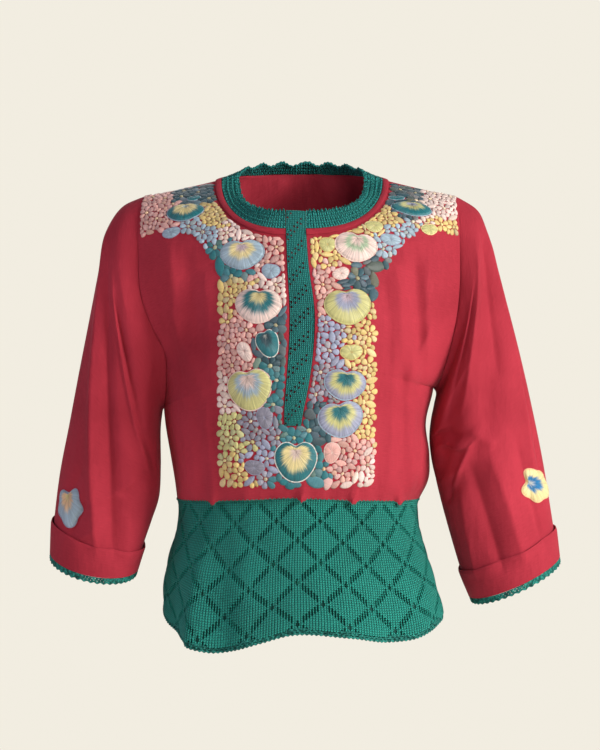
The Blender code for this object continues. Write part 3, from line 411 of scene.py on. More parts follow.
# Small gathers just above the waist seam: the angle is read as x, one row for each.
Gather = namedtuple("Gather", "x height width rise")
GATHERS = (
    Gather(-0.148, 0.0024, 0.006, 0.030),
    Gather(-0.122, -0.0022, 0.005, 0.040),
    Gather(-0.107, 0.0030, 0.006, 0.045),
    Gather(-0.066, 0.0018, 0.007, 0.022),
    Gather(-0.038, -0.0016, 0.006, 0.020),
    Gather(0.000, 0.0022, 0.006, 0.024),
    Gather(0.034, -0.0016, 0.006, 0.020),
    Gather(0.061, 0.0024, 0.006, 0.028),
    Gather(0.090, -0.0024, 0.006, 0.040),
    Gather(0.118, 0.0030, 0.007, 0.045),
    Gather(0.138, -0.0020, 0.005, 0.030),
)
DIP_X = (-0.107, 0.000, 0.061, 0.118)
DIP_DEPTH = 0.0056
DIP_WIDTH = 0.0036

SLEEVE_CREASES = (
    SleeveFold("right", 160, 82, 0.08, 0.95, 6, 0.0060),
    SleeveFold("right", 140, 58, 0.08, 0.95, 14, -0.0095),
    SleeveFold("right", 124, 32, 0.13, 0.55, 6, 0.0044),
    SleeveFold("right", 110, 20, 0.16, 0.52, 9, -0.0034),
    SleeveFold("right", 104, 124, 0.74, 0.88, 6, -0.0036),
    SleeveFold("right", 120, 140, 0.66, 0.82, 6, -0.0028),
    SleeveFold("right", 84, 108, 0.78, 0.88, 6, 0.0028),
    SleeveFold("right", 52, 92, 0.56, 0.74, 7, 0.0034),
    SleeveFold("right", 40, 72, 0.52, 0.68, 7, -0.0038),
    SleeveFold("right", 60, 40, 0.72, 0.95, 10, 0.0034),
    SleeveFold("right", 205, 232, 0.12, 0.75, 9, -0.0036),
    SleeveFold("right", 190, 214, 0.20, 0.85, 7, 0.0034),
    SleeveFold("right", 250, 285, 0.20, 0.85, 10, 0.0034),
    SleeveFold("right", 320, 300, 0.25, 0.80, 9, -0.0040),
    SleeveFold("right", 300, 330, 0.45, 0.70, 7, 0.0034),
    SleeveFold("left", 166, 150, 0.07, 0.82, 4, -0.0034),
    SleeveFold("left", 156, 138, 0.07, 0.80, 6, 0.0042),
    SleeveFold("left", 142, 118, 0.06, 0.46, 8, -0.0046),
    SleeveFold("left", 124, 70, 0.05, 0.42, 7, 0.0034),
    SleeveFold("left", 100, 44, 0.08, 0.40, 9, -0.0030),
    SleeveFold("left", 30, 74, 0.42, 0.56, 6, 0.0080),
    SleeveFold("left", 74, 36, 0.54, 0.66, 6, 0.0062),
    SleeveFold("left", 22, 64, 0.36, 0.50, 8, -0.0064),
    SleeveFold("left", 50, 24, 0.60, 0.70, 7, -0.0050),
    SleeveFold("left", 74, 96, 0.50, 0.62, 7, 0.0040),
    SleeveFold("left", 88, 104, 0.60, 0.93, 11, 0.0058),
    SleeveFold("left", 66, 78, 0.60, 0.93, 10, -0.0058),
    SleeveFold("left", 122, 134, 0.62, 0.90, 9, -0.0044),
    SleeveFold("left", 50, 42, 0.66, 0.92, 8, 0.0036),
    SleeveFold("left", 205, 232, 0.12, 0.75, 9, -0.0036),
    SleeveFold("left", 190, 212, 0.22, 0.85, 7, 0.0034),
    SleeveFold("left", 250, 285, 0.20, 0.85, 10, 0.0034),
    SleeveFold("left", 320, 300, 0.25, 0.80, 9, -0.0040),
    SleeveFold("left", 300, 330, 0.45, 0.70, 7, 0.0034),
)
SHARP = 1.25
# Narrower folds of the peplum, which grow towards the hem.
PEPLUM_FOLDS += (
    PeplumFold(-45, 4, 0.0046),
    PeplumFold(-33, 6, -0.0060),
    PeplumFold(-66, 8, -0.0022),
    PeplumFold(-22, 7, 0.0022),
    PeplumFold(-8, 9, -0.0022),
    PeplumFold(16, 9, 0.0026),
    PeplumFold(40, 8, -0.0034),
    PeplumFold(76, 6, 0.0034),
    PeplumFold(105, 9, -0.0036),
    PeplumFold(150, 8, -0.0030),
    PeplumFold(170, 7, 0.0036),
    PeplumFold(-165, 8, -0.0034),
    PeplumFold(-118, 7, 0.0036),
)

# The knit counted in stitches: 18 across a diamond, two rows of cells for each step of the lattice.
DIAMOND_STITCHES = 18
STEP_ROWS = 18
GAP_HALF = 0.34
GAP_ROWS = 6
LAST_OPEN_LEVEL = 4
DIAMOND_RISE = 0.0018

# Colours of the thread, as linear values.
THREADS = {
    "teal": (0.012, 0.170, 0.195),
    "ink": (0.022, 0.075, 0.095),
    "pink": (0.730, 0.390, 0.340),
    "rose": (0.760, 0.300, 0.300),
    "pale": (0.830, 0.640, 0.570),
    "gold": (0.720, 0.530, 0.190),
    "lime": (0.600, 0.570, 0.230),
    "cream": (0.860, 0.720, 0.340),
    "grey": (0.260, 0.250, 0.310),
    "lilac": (0.330, 0.350, 0.480),
    "sky": (0.350, 0.470, 0.560),
    "blue": (0.150, 0.270, 0.460),
    "vivid": (0.000, 0.190, 0.460),
    "white": (0.850, 0.830, 0.760),
    "peach": (0.860, 0.560, 0.300),
    "sage": (0.380, 0.520, 0.330),
    "mauve": (0.620, 0.480, 0.540),
}
# Where each colour of small motif is at home on the front, seen from the front.
Home = namedtuple("Home", "x z thread")
HOMES = (
    Home(-0.170, -0.055, "pink"),
    Home(-0.122, -0.021, "ink"),
    Home(-0.105, -0.042, "gold"),
    Home(-0.130, -0.072, "sky"),
    Home(-0.042, -0.088, "pink"),
    Home(-0.073, -0.070, "pale"),
    Home(-0.099, -0.107, "teal"),
    Home(-0.022, -0.140, "pale"),
    Home(-0.092, -0.156, "gold"),
    Home(-0.072, -0.183, "pink"),
    Home(-0.029, -0.196, "ink"),
    Home(-0.086, -0.217, "pink"),
    Home(-0.097, -0.256, "pale"),
    Home(-0.035, -0.258, "teal"),
    Home(-0.084, -0.318, "lime"),
    Home(-0.080, -0.360, "gold"),
    Home(-0.047, -0.306, "grey"),
    Home(-0.052, -0.345, "lilac"),
    Home(0.000, -0.312, "teal"),
    Home(-0.005, -0.371, "teal"),
    Home(0.062, -0.340, "pink"),
    Home(0.084, -0.354, "pale"),
    Home(0.084, -0.292, "gold"),
    Home(0.083, -0.230, "gold"),
    Home(0.070, -0.184, "gold"),
    Home(0.034, -0.205, "lilac"),
    Home(0.029, -0.252, "grey"),
    Home(0.024, -0.300, "ink"),
    Home(0.022, -0.130, "pink"),
    Home(0.076, -0.118, "ink"),
    Home(0.032, -0.090, "gold"),
    Home(0.096, -0.054, "gold"),
    Home(0.112, -0.076, "sky"),
    Home(0.118, -0.022, "ink"),
    Home(0.170, -0.062, "gold"),
    Home(0.170, -0.040, "pale"),
)
# How each large flower is stitched: rim, middle band, heart and outline, and where the bands change.
Look = namedtuple("Look", "rim band heart outline first second")
LOOKS = {
    "flower_shoulder_right": Look("teal", "cream", "sky", "sky", 0.16, 0.62),
    "flower_band_right_top": Look("sky", "cream", "mauve", "sky", 0.26, 0.58),
    "flower_band_right_upper": Look("pale", "teal", "cream", "pale", 0.32, 0.68),
    "flower_band_right_small": Look("teal", "ink", "white", "white", 0.10, 0.50),
    "flower_band_right_low": Look("lime", "sky", "pale", "pale", 0.34, 0.58),
    "flower_foot": Look("teal", "cream", "pale", "white", 0.26, 0.66),
    "flower_band_left_top": Look("pale", "sage", "pale", "pale", 0.30, 0.56),
    "flower_band_left_upper": Look("lime", "lilac", "mauve", "lime", 0.24, 0.54),
    "flower_band_left_low": Look("lilac", "lime", "teal", "sky", 0.44, 0.74),
    "flower_band_left_foot": Look("lilac", "lime", "teal", "sky", 0.40, 0.68),
    "flower_shoulder_left": Look("teal", "lime", "lilac", "sky", 0.26, 0.56),
    "flower_sleeve_right": Look("sky", "peach", "cream", "lilac", 0.18, 0.50),
    "flower_sleeve_left": Look("cream", "vivid", "white", "peach", 0.12, 0.46),
}
# Middling buds between the flowers and the small motifs.
Bud = namedtuple("Bud", "x z width height turn thread outline")
BUDS = (
    Bud(-0.1330, -0.0230, 0.017, 0.012, 15, "teal", "sky"),
    Bud(0.1160, -0.0230, 0.020, 0.011, 0, "teal", "sky"),
    Bud(-0.1580, -0.0680, 0.024, 0.014, 12, "sky", "lilac"),
    Bud(0.1060, -0.0780, 0.026, 0.014, -8, "sky", "lilac"),
    Bud(0.1540, -0.0640, 0.022, 0.014, 4, "lime", "cream"),
    Bud(-0.0370, -0.1170, 0.022, 0.018, -10, "sky", "lilac"),
    Bud(0.0460, -0.1200, 0.021, 0.015, 20, "pale", "pink"),
    Bud(0.0300, -0.0850, 0.020, 0.018, 0, "lime", "gold"),
    Bud(-0.0680, -0.2120, 0.016, 0.026, 30, "pale", "pink"),
    Bud(-0.0440, -0.2900, 0.019, 0.026, 10, "grey", "lilac"),
    Bud(0.0580, -0.2130, 0.027, 0.018, 4, "lime", "gold"),
    Bud(0.0350, -0.3310, 0.019, 0.025, -12, "pink", "pale"),
    Bud(-0.0560, -0.3490, 0.024, 0.017, -6, "grey", "lilac"),
    Bud(0.0860, -0.0620, 0.022, 0.017, 0, "lime", "cream"),
)
# Padded stitches: how high they rise, how far they stand off the cloth, and their cord's radius.
Relief = namedtuple("Relief", "rise lift cord")
FLOWER_RELIEF = Relief(0.0026, 0.0012, 0.0007)
BUD_RELIEF = Relief(0.0014, 0.0005, 0.0005)
PANSY_SPOKES = 120
PANSY_RINGS = 15
BUD_SPOKES = 40
BUD_NOTCH = 0.04
CORD_SIDES = 6
CLEFT = 0.07
SLEEVE_LOBES = 0.09
LOBE_SHIFT = 0.6
BLEND = 0.16
THREAD_WIDTH = 0.0009
THREAD_STEP = 0.0016
REACH_ABOVE = 0.05
REACH_BELOW = 0.15

# The seeds of a small motif: how many in a row, how far apart, how much room, and their share.
Kind = namedtuple("Kind", "name points step room share")
KINDS = (
    Kind("leaf", 3, 0.0040, 0.0056, 0.58),
    Kind("petal", 2, 0.0040, 0.0058, 0.32),
    Kind("berry", 1, 0.0, 0.0046, 0.10),
)
MOTIF_TRIES = 60000
MOTIF_SLACK = 0.0010
HOME_STRAY = 0.004
MOTIF_REACH = 0.0040
MOTIF_GAP = 0.0004
MOTIF_RISE = 0.0015
MOTIF_LEAST = 0.0008
MOTIF_SIDES = 16
MOTIF_SHARES = (0.36, 0.70, 0.90, 1.0)
ROSETTE_TRIES = 2500
ROSETTE_REACH = 0.0042
ROSETTE_GROWTH = 0.0004
ROSETTE_PETAL = 0.0030
ROSETTE_SLACK = 0.0012
ROSETTE_ROOM = 0.0050
SEED_CELL = 0.008
MINGLED = ("pale", "gold", "grey", "sky")
# Motifs of these threads are wider and lie closer together.
WIDE_THREADS = ("teal", "ink")
WIDE = 1.5
DENSE = 1.16
SPREAD = 1.04
# Bare cloth beside the slit, the neck seam, the armholes and the large flowers.
STRIP_MARGIN = 0.0030
NECK_MARGIN = 0.0100
ARMHOLE_MARGIN = 0.003
FLOWER_MARGIN = 0.0010
FLOWER_REACH = 0.04

# Crochet: rows, lumps and pitches of the bands and edgings.
BAND_ROWS = 15
BAND_RIB = 0.0008
BAND_LUMP = 0.0007
SCALLOP_LIFT = 0.0014
TOOTH_PITCH = 0.0062
LOOSE_PITCH = 0.0190
ROW_STITCH = 0.0034
PLACKET_CELLS = 24
PLACKET_ROW = 0.00125
PLACKET_BOW = 0.0012
PLACKET_LUMP = 0.0005
EYELET_LINE_CELLS = 22
EDGING_ROWS = 6
EDGING_LUMP = 0.0005
HEM_STEP = 0.0013
HEM_SCALLOP = 0.0056
HEM_OVERLAP = 0.0014
CUFF_GAP = 0.0007
CUFF_WAVE = 0.0006
CUFF_WAVES = 7
BINDING_LIFT = 0.0008
BINDING_ROUND = 0.0009

GREEN_BLOOM = (0.2, 1.0, 0.8, 1)
CREAM = (0.887, 0.847, 0.752)
ROOM_LIGHT = (0.13, 0.13, 0.14, 1)
FLOOR_HALF = 6
FLOOR_Z = -1
Lamp = namedtuple("Lamp", "name place target size watts colour")
LAMPS = (
    Lamp("key", (2.20, -1.25, 0.50), (0.05, 0, -0.30), (0.9, 0.9), 68, (1.0, 0.97, 0.94)),
    Lamp("front", (1.0, -2.4, 0.6), (0, 0, -0.3), (1.0, 1.0), 17, (1.0, 0.98, 0.96)),
    Lamp("left", (-2.2, -0.7, 0.25), (0, 0, -0.3), (1.0, 1.2), 13, (0.86, 0.78, 1.0)),
    Lamp("back", (-0.6, 2.4, 0.9), (0, 0, -0.3), (1.4, 1.4), 16, (1.0, 0.98, 0.96)),
)


def normals_of(points, inside, wrap=False):
    """Unit normals of a grid, each the mean of the cells round it, turned away from the inside point."""
    if wrap:
        points = np.concatenate([points, points[:, :1]], axis=1)
    cells = np.cross(points[1:, 1:] - points[:-1, :-1], points[1:, :-1] - points[:-1, 1:])
    normals = np.zeros(points.shape)
    for r in (slice(None, -1), slice(1, None)):
        for c in (slice(None, -1), slice(1, None)):
            normals[r, c] += cells
    if wrap:
        normals[:, 0] += normals[:, -1]
        points, normals = points[:, :-1], normals[:, :-1]
    normals = unit(normals)
    away = (normals * (points - inside)).sum(axis=-1)
    return normals if away.mean() > 0 else -normals


def build(name, points, faces, material, uvs=None, tints=None):
    """A mesh object of these faces. uvs holds a pair for each corner, tints a colour for each point."""
    mesh = bpy.data.meshes.new(name)
    mesh.from_pydata(points.tolist(), [], faces.tolist() if hasattr(faces, "tolist") else faces)
    mesh.materials.append(material)
    mesh.shade_smooth()
    if uvs is not None:
        layer = mesh.uv_layers.new(name="Cloth")
        layer.uv.foreach_set("vector", np.asarray(uvs, np.float32).ravel())
    if tints is not None:
        colours = mesh.color_attributes.new("Tint", "FLOAT_COLOR", "POINT")
        values = np.concatenate([tints, np.ones((len(tints), 1))], axis=1)
        colours.data.foreach_set("color", values.astype(np.float32).ravel())
    made = bpy.data.objects.new(name, mesh)
    bpy.context.scene.collection.objects.link(made)
    return made


def wall(name, outer, inner, material, keep=None, wrap=False, uv=None, web=None):
    """A closed wall between two grids, without the cells that keep leaves out. uv has a pair for each point.
    The cells of web are left out of the outer grid only."""
    rows, columns = outer.shape[:2]
    across = columns if wrap else columns - 1
    keep = np.ones((rows - 1, across), bool) if keep is None else keep
    if uv is None:
        du = np.linalg.norm(np.diff(outer[rows // 2], axis=0), axis=1).mean()
        dv = np.linalg.norm(np.diff(outer[:, columns // 2], axis=0), axis=1).mean()
        uv = np.stack(np.meshgrid(np.arange(across + 1) * du, np.arange(rows) * dv), axis=-1)
    r, c = np.nonzero(keep)
    size = rows * columns
    corners = [(r, c), (r, c + 1), (r + 1, c + 1), (r + 1, c)]
    index = [a * columns + b % columns for a, b in corners]
    place = [uv[a, b] for a, b in corners]
    front, front_uv = np.stack(index, axis=1), np.stack(place, axis=1)
    faces, maps = [front, front[:, ::-1] + size], [front_uv, front_uv[:, ::-1]]
    padded_keep = np.zeros((rows + 1, across + 2), bool)
    padded_keep[1:-1, 1:-1] = keep
    if wrap:
        padded_keep[1:-1, 0], padded_keep[1:-1, -1] = keep[:, -1], keep[:, 0]
    for k, (dr, dc) in enumerate(((-1, 0), (0, 1), (1, 0), (0, -1))):
        bare = ~padded_keep[r + 1 + dr, c + 1 + dc]
        a, b = index[k][bare], index[(k + 1) % 4][bare]
        faces.append(np.stack([b, a, a + size, b + size], axis=1))
        ua, ub = place[k][bare], place[(k + 1) % 4][bare]
        maps.append(np.stack([ub, ua, ua, ub], axis=1))
    if web is not None:
        a, b = np.nonzero(web)
        floor = [(a + da) * columns + b + db + size for da, db in ((0, 0), (0, 1), (1, 1), (1, 0))]
        faces.append(np.stack(floor, axis=1))
        maps.append(np.zeros((len(a), 4, 2)))
    faces, maps = np.concatenate(faces), np.concatenate(maps)
    points = np.concatenate([outer.reshape(-1, 3), inner.reshape(-1, 3)])
    r, c, up = points[front[:, 0]], points[front[:, 1]], points[front[:, 3]]
    out = points[front[:, 0]] - points[front[:, 0] + size]
    if (np.cross(c - r, up - r) * out).sum() < 0:
        faces, maps = faces[:, ::-1], maps[:, ::-1]
    used, faces = np.unique(faces, return_inverse=True)
    made = build(name, points[used], faces.reshape(-1, 4), material, maps.reshape(-1, 2))
    made.data.set_sharp_from_angle(angle=math.radians(60))
    return made


def outer_edge(side, back, row):
    """Side seam from the waist up to the underarm, then the armhole up to the shoulder tip."""
    low = row < UNDERARM_ROW
    f = np.clip(row / UNDERARM_ROW, 0, 1)
    z = lerp(WAIST_SIDE_Z, side.underarm_z, f)
    edge = read(BODICE, side.name, z)
    edge = edge + (side.underarm_x - read(BODICE, side.name, [side.underarm_z])[0]) * f**2
    seam = np.stack([edge, np.zeros_like(z), z], axis=-1)
    w = np.clip((row - UNDERARM_ROW) / (ROWS - UNDERARM_ROW), 0, 1)
    return np.where(low[:, None], seam, armhole(side, w, back))


def inner_edge(side, back, row):
    """Beside the slit or the middle of the back, then along the neck to the shoulder."""
    corner = BACK_NECK_ROW if back else NECK_ROW
    if back:
        z = lerp(WAIST_BACK_Z, NECK_BACK[1], np.clip(row / corner, 0, 1))
        x = np.full_like(z, side.sign * BACK_MIDDLE_HALF)
    else:
        z = through([0, SLIT_ROW, corner], [WAIST_FRONT_Z, SLIT_BOTTOM_Z, NECK_FRONT[1]], row)
        x = read(PLACKET, "centre", z) + side.sign * read(PLACKET, "half", z)
    low = np.stack([x, read(BODICE, "back" if back else "front", z), z], axis=-1)
    turn = np.clip((row - corner) / (ROWS - corner), 0, 1) * 90
    start = read(PLACKET, "centre", [NECK_FRONT[1]])[0]
    start = start + side.sign * read(PLACKET, "half", [NECK_FRONT[1]])[0]
    middle = NECK_BACK if back else NECK_FRONT
    high = neck_point(side, side.sign * BACK_MIDDLE_HALF if back else start, middle, turn)
    return np.where((row < corner)[:, None], low, high)


def panel(back):
    """Points of the front or the back, its columns running from the right side seam to the left one."""
    row = np.linspace(0, ROWS, FINE_ROWS + 1)
    t = np.linspace(0, 1, FINE_HALF + 1)[None, :]
    w = np.clip((row - UNDERARM_ROW) / (ROWS - UNDERARM_ROW), 0, 1)
    turn = np.radians(read(EDGE_TURN, "degrees", w, "w"))[:, None]
    along = np.sin(t * turn) / np.sin(turn)
    round_it = (1 - np.cos(t * turn)) / (1 - np.cos(turn))
    halves = []
    for side in SIDES:
        inner, outer = inner_edge(side, back, row), outer_edge(side, back, row)
        half = np.empty((len(row), t.shape[1], 3))
        for axis, f in ((0, along), (1, round_it), (2, along)):
            half[..., axis] = lerp(inner[:, None, axis], outer[:, None, axis], f)
        halves.append(half)
    f = np.linspace(0, 1, MIDDLE_COLUMNS + 1)[None, 1:-1, None]
    middle = lerp(halves[0][:, :1], halves[1][:, :1], f)
    points = np.concatenate([halves[0][:, ::-1], middle, halves[1]], axis=1)
    keep = np.ones((FINE_ROWS, points.shape[1] - 1), bool)
    top = BACK_NECK_ROW if back else SLIT_ROW
    open_rows = row[:-1] >= top
    keep[open_rows, FINE_HALF : FINE_HALF + MIDDLE_COLUMNS] = False
    return shaped(points, row, back), keep


def shaped(points, row, back):
    """The panel with its bust, folds, creases and gathers, which all fade out at its seams."""
    face = "back" if back else "front"
    outwards = 1 if back else -1
    x, z = points[..., 0], points[..., 2]
    push = sum(ridge(x, z, fold) for fold in BODICE_FOLDS if fold.face == face)
    if not back:
        at_x, at_z, radius, height = BUST
        push = push + height * np.exp(-((np.abs(x) - at_x) ** 2 + (z - at_z) ** 2) / radius**2)
    column = np.minimum(np.arange(points.shape[1]), np.arange(points.shape[1])[::-1])
    fade = np.clip(column * 10 / FINE_HALF, 0, 1)[None, :] * np.clip(ROWS - row, 0, 1)[:, None]
    waist = np.clip(row * 1.4, 0, 1)[:, None]
    fine = sum(ridge(x, z, fold, SHARP) for fold in CREASES if fold.face == face)
    flat = np.where(bib(x, z, 0.0), 0.25, 1.0) if not back else 1.0
    gathered = np.zeros_like(x)
    dip = np.zeros_like(x)
    seam = z[:1]
    for g in GATHERS:
        lift = np.exp(-(((z - seam) / g.rise) ** 2))
        gathered += g.height * np.exp(-(((x - g.x) / g.width) ** 2)) * lift
    if not back:
        near = np.exp(-(((z - seam) / 0.012) ** 2))
        for at in DIP_X:
            dip += np.exp(-(((x - at) / DIP_WIDTH) ** 2)) * near
    points = points.copy()
    points[..., 1] += outwards * ((push + fine * flat) * fade * waist + gathered * fade + 0.0028 * dip)
    points[..., 2] -= DIP_DEPTH * dip * np.exp(-((row / 1.2)[:, None] ** 2))
    return points


def bib(x, z, margin):
    """Where the front is embroidered: beside the slit, and over the shoulders."""
    ax = np.abs(x)
    left, right = BIB_RIGHT_X + margin, BIB_LEFT_X - margin
    foot = BAND_FOOT_Z + margin
    columns = (x > left) & (x < right) & (z > foot)
    shoulders = (z > read(SHOULDER_EDGE, "z", ax, "x") + margin) & (ax > BIB_SHOULDER_X)
    return columns | shoulders


def sleeve_rings(side):
    """Rings of the sleeve from the armhole to the cuff, each from the underarm round by the front."""
    half = SLEEVE_AROUND // 2
    w = np.arange(half + 1) / half
    first = np.concatenate([armhole(side, w, False), armhole(side, w[-2:0:-1], True)])
    angle = np.radians(np.arange(SLEEVE_AROUND) * 360 / SLEEVE_AROUND)
    straight = lerp(first[0, 0], first[half, 0], (1 - np.cos(angle)) / 2)
    bulge = first[:, 0] - straight
    rings = [first]
    for ring in SLEEVES[side.name]:
        inside = np.array([ring.in_x, 0, ring.in_z])
        outside = np.array([ring.out_x, 0, ring.out_z])
        middle, reach = (inside + outside) / 2, (outside - inside) / 2
        points = middle - np.cos(angle)[:, None] * reach
        points[:, 1] = (ring.front + ring.back) / 2 + np.sin(angle) * (ring.front - ring.back) / 2
        points[:, 2] -= ring.drop * np.sin(angle)
        points[:, 0] += bulge * max(1 - ring.s / CAP_REACH, 0) ** 1.5
        rings.append(points)
    knots = [0.0] + [ring.s for ring in SLEEVES[side.name]]
    s = np.linspace(0, 1, SLEEVE_ROWS + 1)
    points = through(knots, np.array(rings), s)
    outwards = unit(points - points.mean(axis=1, keepdims=True))
    push = np.zeros(points.shape[:2])
    for fold in SLEEVE_FOLDS + SLEEVE_CREASES:
        if fold.side != side.name:
            continue
        power = SHARP if fold in SLEEVE_CREASES else 2.0
        f = (s[:, None] - fold.s_top) / (fold.s_low - fold.s_top)
        at = lerp(fold.turn_top, fold.turn_low, f)
        aside = (np.degrees(angle)[None, :] - at + 180) % 360 - 180
        fade = np.clip(1.2 - np.abs(2 * f - 1) ** 3 * 1.2, 0, 1)
        push += fold.height * np.exp(-(np.abs(aside / fold.width) ** power)) * fade
    push *= np.clip(s / 0.05, 0, 1)[:, None]
    return points + outwards * push[..., None]


def length_along(line):
    """Distances along a line of points, from 0 at its first."""
    return np.concatenate([[0], np.cumsum(np.linalg.norm(np.diff(line, axis=0), axis=1))])


def resampled(at, knots, line):
    """A line's points, or the directions along it, read at other distances."""
    return np.stack([np.interp(at, knots, line[:, k]) for k in range(3)], axis=-1)


def neck_track(step):
    """The neck seam and the neckband's upper edge in even steps, from the slit round the back to the slit,
    and the distance along the seam."""
    seam, top = [], []
    start = read(PLACKET, "centre", [NECK_FRONT[1]])[0]
    half = read(PLACKET, "half", [NECK_FRONT[1]])[0]
    up = np.linspace(0, 90, NECK_STEPS + 1)
    legs = (
        (SIDES[0], False, up),
        (SIDES[0], True, up[-2::-1]),
        (SIDES[1], True, up[:-1]),
        (SIDES[1], False, up[::-1]),
    )
    for side, back, turn in legs:
        first = side.sign * BACK_MIDDLE_HALF if back else start + side.sign * half
        middle = NECK_BACK if back else NECK_FRONT
        seam.append(neck_point(side, first, middle, turn))
        dip = BAND_TOP_BACK if back else BAND_TOP_FRONT
        sin, cos = np.sin(np.radians(turn)), np.clip(np.cos(np.radians(turn)), 0, 1)
        x = lerp(first, side.sign * BAND_TOP_SIDE[0], sin**0.8)
        y = lerp(BAND_TOP_SIDE[1], dip.y, cos)
        z = lerp(BAND_TOP_SIDE[2], dip.z, cos**dip.power)
        top.append(np.stack([x, y, z], axis=-1))
    seam, top = np.concatenate(seam), np.concatenate(top)
    length = length_along(seam)
    even = np.linspace(0, length[-1], int(length[-1] / step) + 1)
    return resampled(even, length, seam), resampled(even, length, top), even


def material_of(name, roughness, sheen=0.0, sheen_tint=(1, 1, 1, 1)):
    """A Principled material, with its tree and shader at hand."""
    material = bpy.data.materials.new(name)
    material.use_nodes = True
    shader = material.node_tree.nodes["Principled BSDF"]
    shader.inputs["Roughness"].default_value = roughness
    shader.inputs["Specular IOR Level"].default_value = 0.3
    shader.inputs["Sheen Weight"].default_value = sheen
    shader.inputs["Sheen Roughness"].default_value = 0.45
    shader.inputs["Sheen Tint"].default_value = sheen_tint
    return material, material.node_tree, shader


def node(tree, kind, links=(), **values):
    """A node with its settings and inputs: a value is a number, a colour or another node's socket."""
    made = tree.nodes.new(kind)
    for key, value in values.items():
        setattr(made, key, value)
    for place, value in links:
        if isinstance(value, bpy.types.NodeSocket):
            tree.links.new(value, made.inputs[place])
        else:
            made.inputs[place].default_value = value
    return made


def coordinates(tree):
    """The cloth's own coordinates, in metres or stitches, and the object's."""
    uv = node(tree, "ShaderNodeUVMap", uv_map="Cloth").outputs[0]
    return uv, node(tree, "ShaderNodeTexCoord").outputs["Object"]


def maths(tree, operation, *values):
    """The result of a sum on numbers or sockets."""
    return node(tree, "ShaderNodeMath", list(enumerate(values)), operation=operation).outputs[0]


def weighted(tree, *terms):
    """The sum of sockets, each times its weight."""
    total = 0.0
    for socket, weight in terms:
        total = maths(tree, "ADD", total, maths(tree, "MULTIPLY", socket, weight))
    return total


def noise(tree, place, scale, detail):
    """Soft random clouds."""
    made = node(tree, "ShaderNodeTexNoise", [("Vector", place), ("Scale", scale), ("Detail", detail)])
    return made.outputs["Fac"]


def waves(tree, uv, scale, distortion, way="X"):
    """Even bands across the cloth."""
    links = [("Vector", uv), ("Scale", scale), ("Distortion", distortion)]
    return node(tree, "ShaderNodeTexWave", links, bands_direction=way).outputs["Fac"]


def stretched(tree, place, scale):
    """Coordinates drawn out along one of their axes."""
    return node(tree, "ShaderNodeMapping", [("Vector", place), ("Scale", scale)]).outputs[0]


def coloured(tree, shader, factor, *stops):
    """Base colour read from a ramp, whose stops are a place and a colour."""
    made = node(tree, "ShaderNodeValToRGB", [(0, factor)])
    for element, (place, colour) in zip(made.color_ramp.elements, stops):
        element.position = place
        element.color = (*colour, 1)
    tree.links.new(made.outputs[0], shader.inputs["Base Color"])


def bumped(tree, shader, *layers):
    """Fine relief in layers of height, strength and distance, each laid over the last."""
    normal = None
    for height, strength, distance in layers:
        links = [("Strength", strength), ("Distance", distance), ("Height", height)]
        if normal is not None:
            links.append(("Normal", normal))
        normal = node(tree, "ShaderNodeBump", links).outputs[0]
    tree.links.new(normal, shader.inputs["Normal"])


def cotton_material(name, dark, light):
    """Plain-woven cotton: fine crossing threads, slubs, a faint bloom and a slight rumple."""
    material, tree, shader = material_of(name, 0.85, 0.10, (1.0, 0.5, 0.55, 1))
    uv, place = coordinates(tree)
    cloud = noise(tree, place, 9.0, 4.0)
    slub = noise(tree, stretched(tree, uv, (90, 1400, 1)), 1.0, 2.0)
    rumple = noise(tree, stretched(tree, place, (26, 26, 9)), 1.0, 5.0)
    weave = maths(tree, "MULTIPLY", waves(tree, uv, 250.0, 0.6), waves(tree, uv, 250.0, 0.6, "Y"))
    coloured(tree, shader, weighted(tree, (cloud, 0.65), (slub, 0.35)), (0.30, dark), (0.72, light))
    height = weighted(tree, (weave, 0.6), (slub, 0.8))
    bumped(tree, shader, (rumple, 0.7, 0.006), (height, 0.5, 0.0003))
    return material


def knit_material(name, dark, light):
    """Stocking stitch: each stitch a small V, with painted shade in the hollows round it. UVs count
    stitches.
    """
    material, tree, shader = material_of(name, 0.80, 0.12, GREEN_BLOOM)
    uv, place = coordinates(tree)
    split = node(tree, "ShaderNodeSeparateXYZ", [(0, uv)])
    u, v = split.outputs[0], split.outputs[1]
    across = maths(tree, "ABSOLUTE", maths(tree, "SINE", maths(tree, "MULTIPLY", u, math.pi)))
    lean = maths(tree, "ABSOLUTE", maths(tree, "SUBTRACT", maths(tree, "FRACT", u), 0.5))
    down = weighted(tree, (v, 1.0), (lean, 1.1))
    loops = maths(tree, "ABSOLUTE", maths(tree, "SINE", maths(tree, "MULTIPLY", down, math.pi)))
    height = maths(tree, "MULTIPLY", maths(tree, "POWER", across, 0.6), maths(tree, "POWER", loops, 0.45))
    fuzz = noise(tree, place, 900.0, 3.0)
    cloud = noise(tree, place, 14.0, 3.0)
    worn = maths(tree, "SUBTRACT", fuzz, 0.5)
    # Painted shade: the colour darkens where the stitches are low, in the hollows; the clouds and fuzz add
    # random tone.
    hollow_shade_and_tone = weighted(tree, (height, 0.62), (cloud, 0.38), (worn, 0.25))
    coloured(tree, shader, hollow_shade_and_tone, (0.22, dark), (0.72, light))
    bumped(tree, shader, (weighted(tree, (height, 1.0), (fuzz, 0.25)), 1.0, 0.0022))
    return material


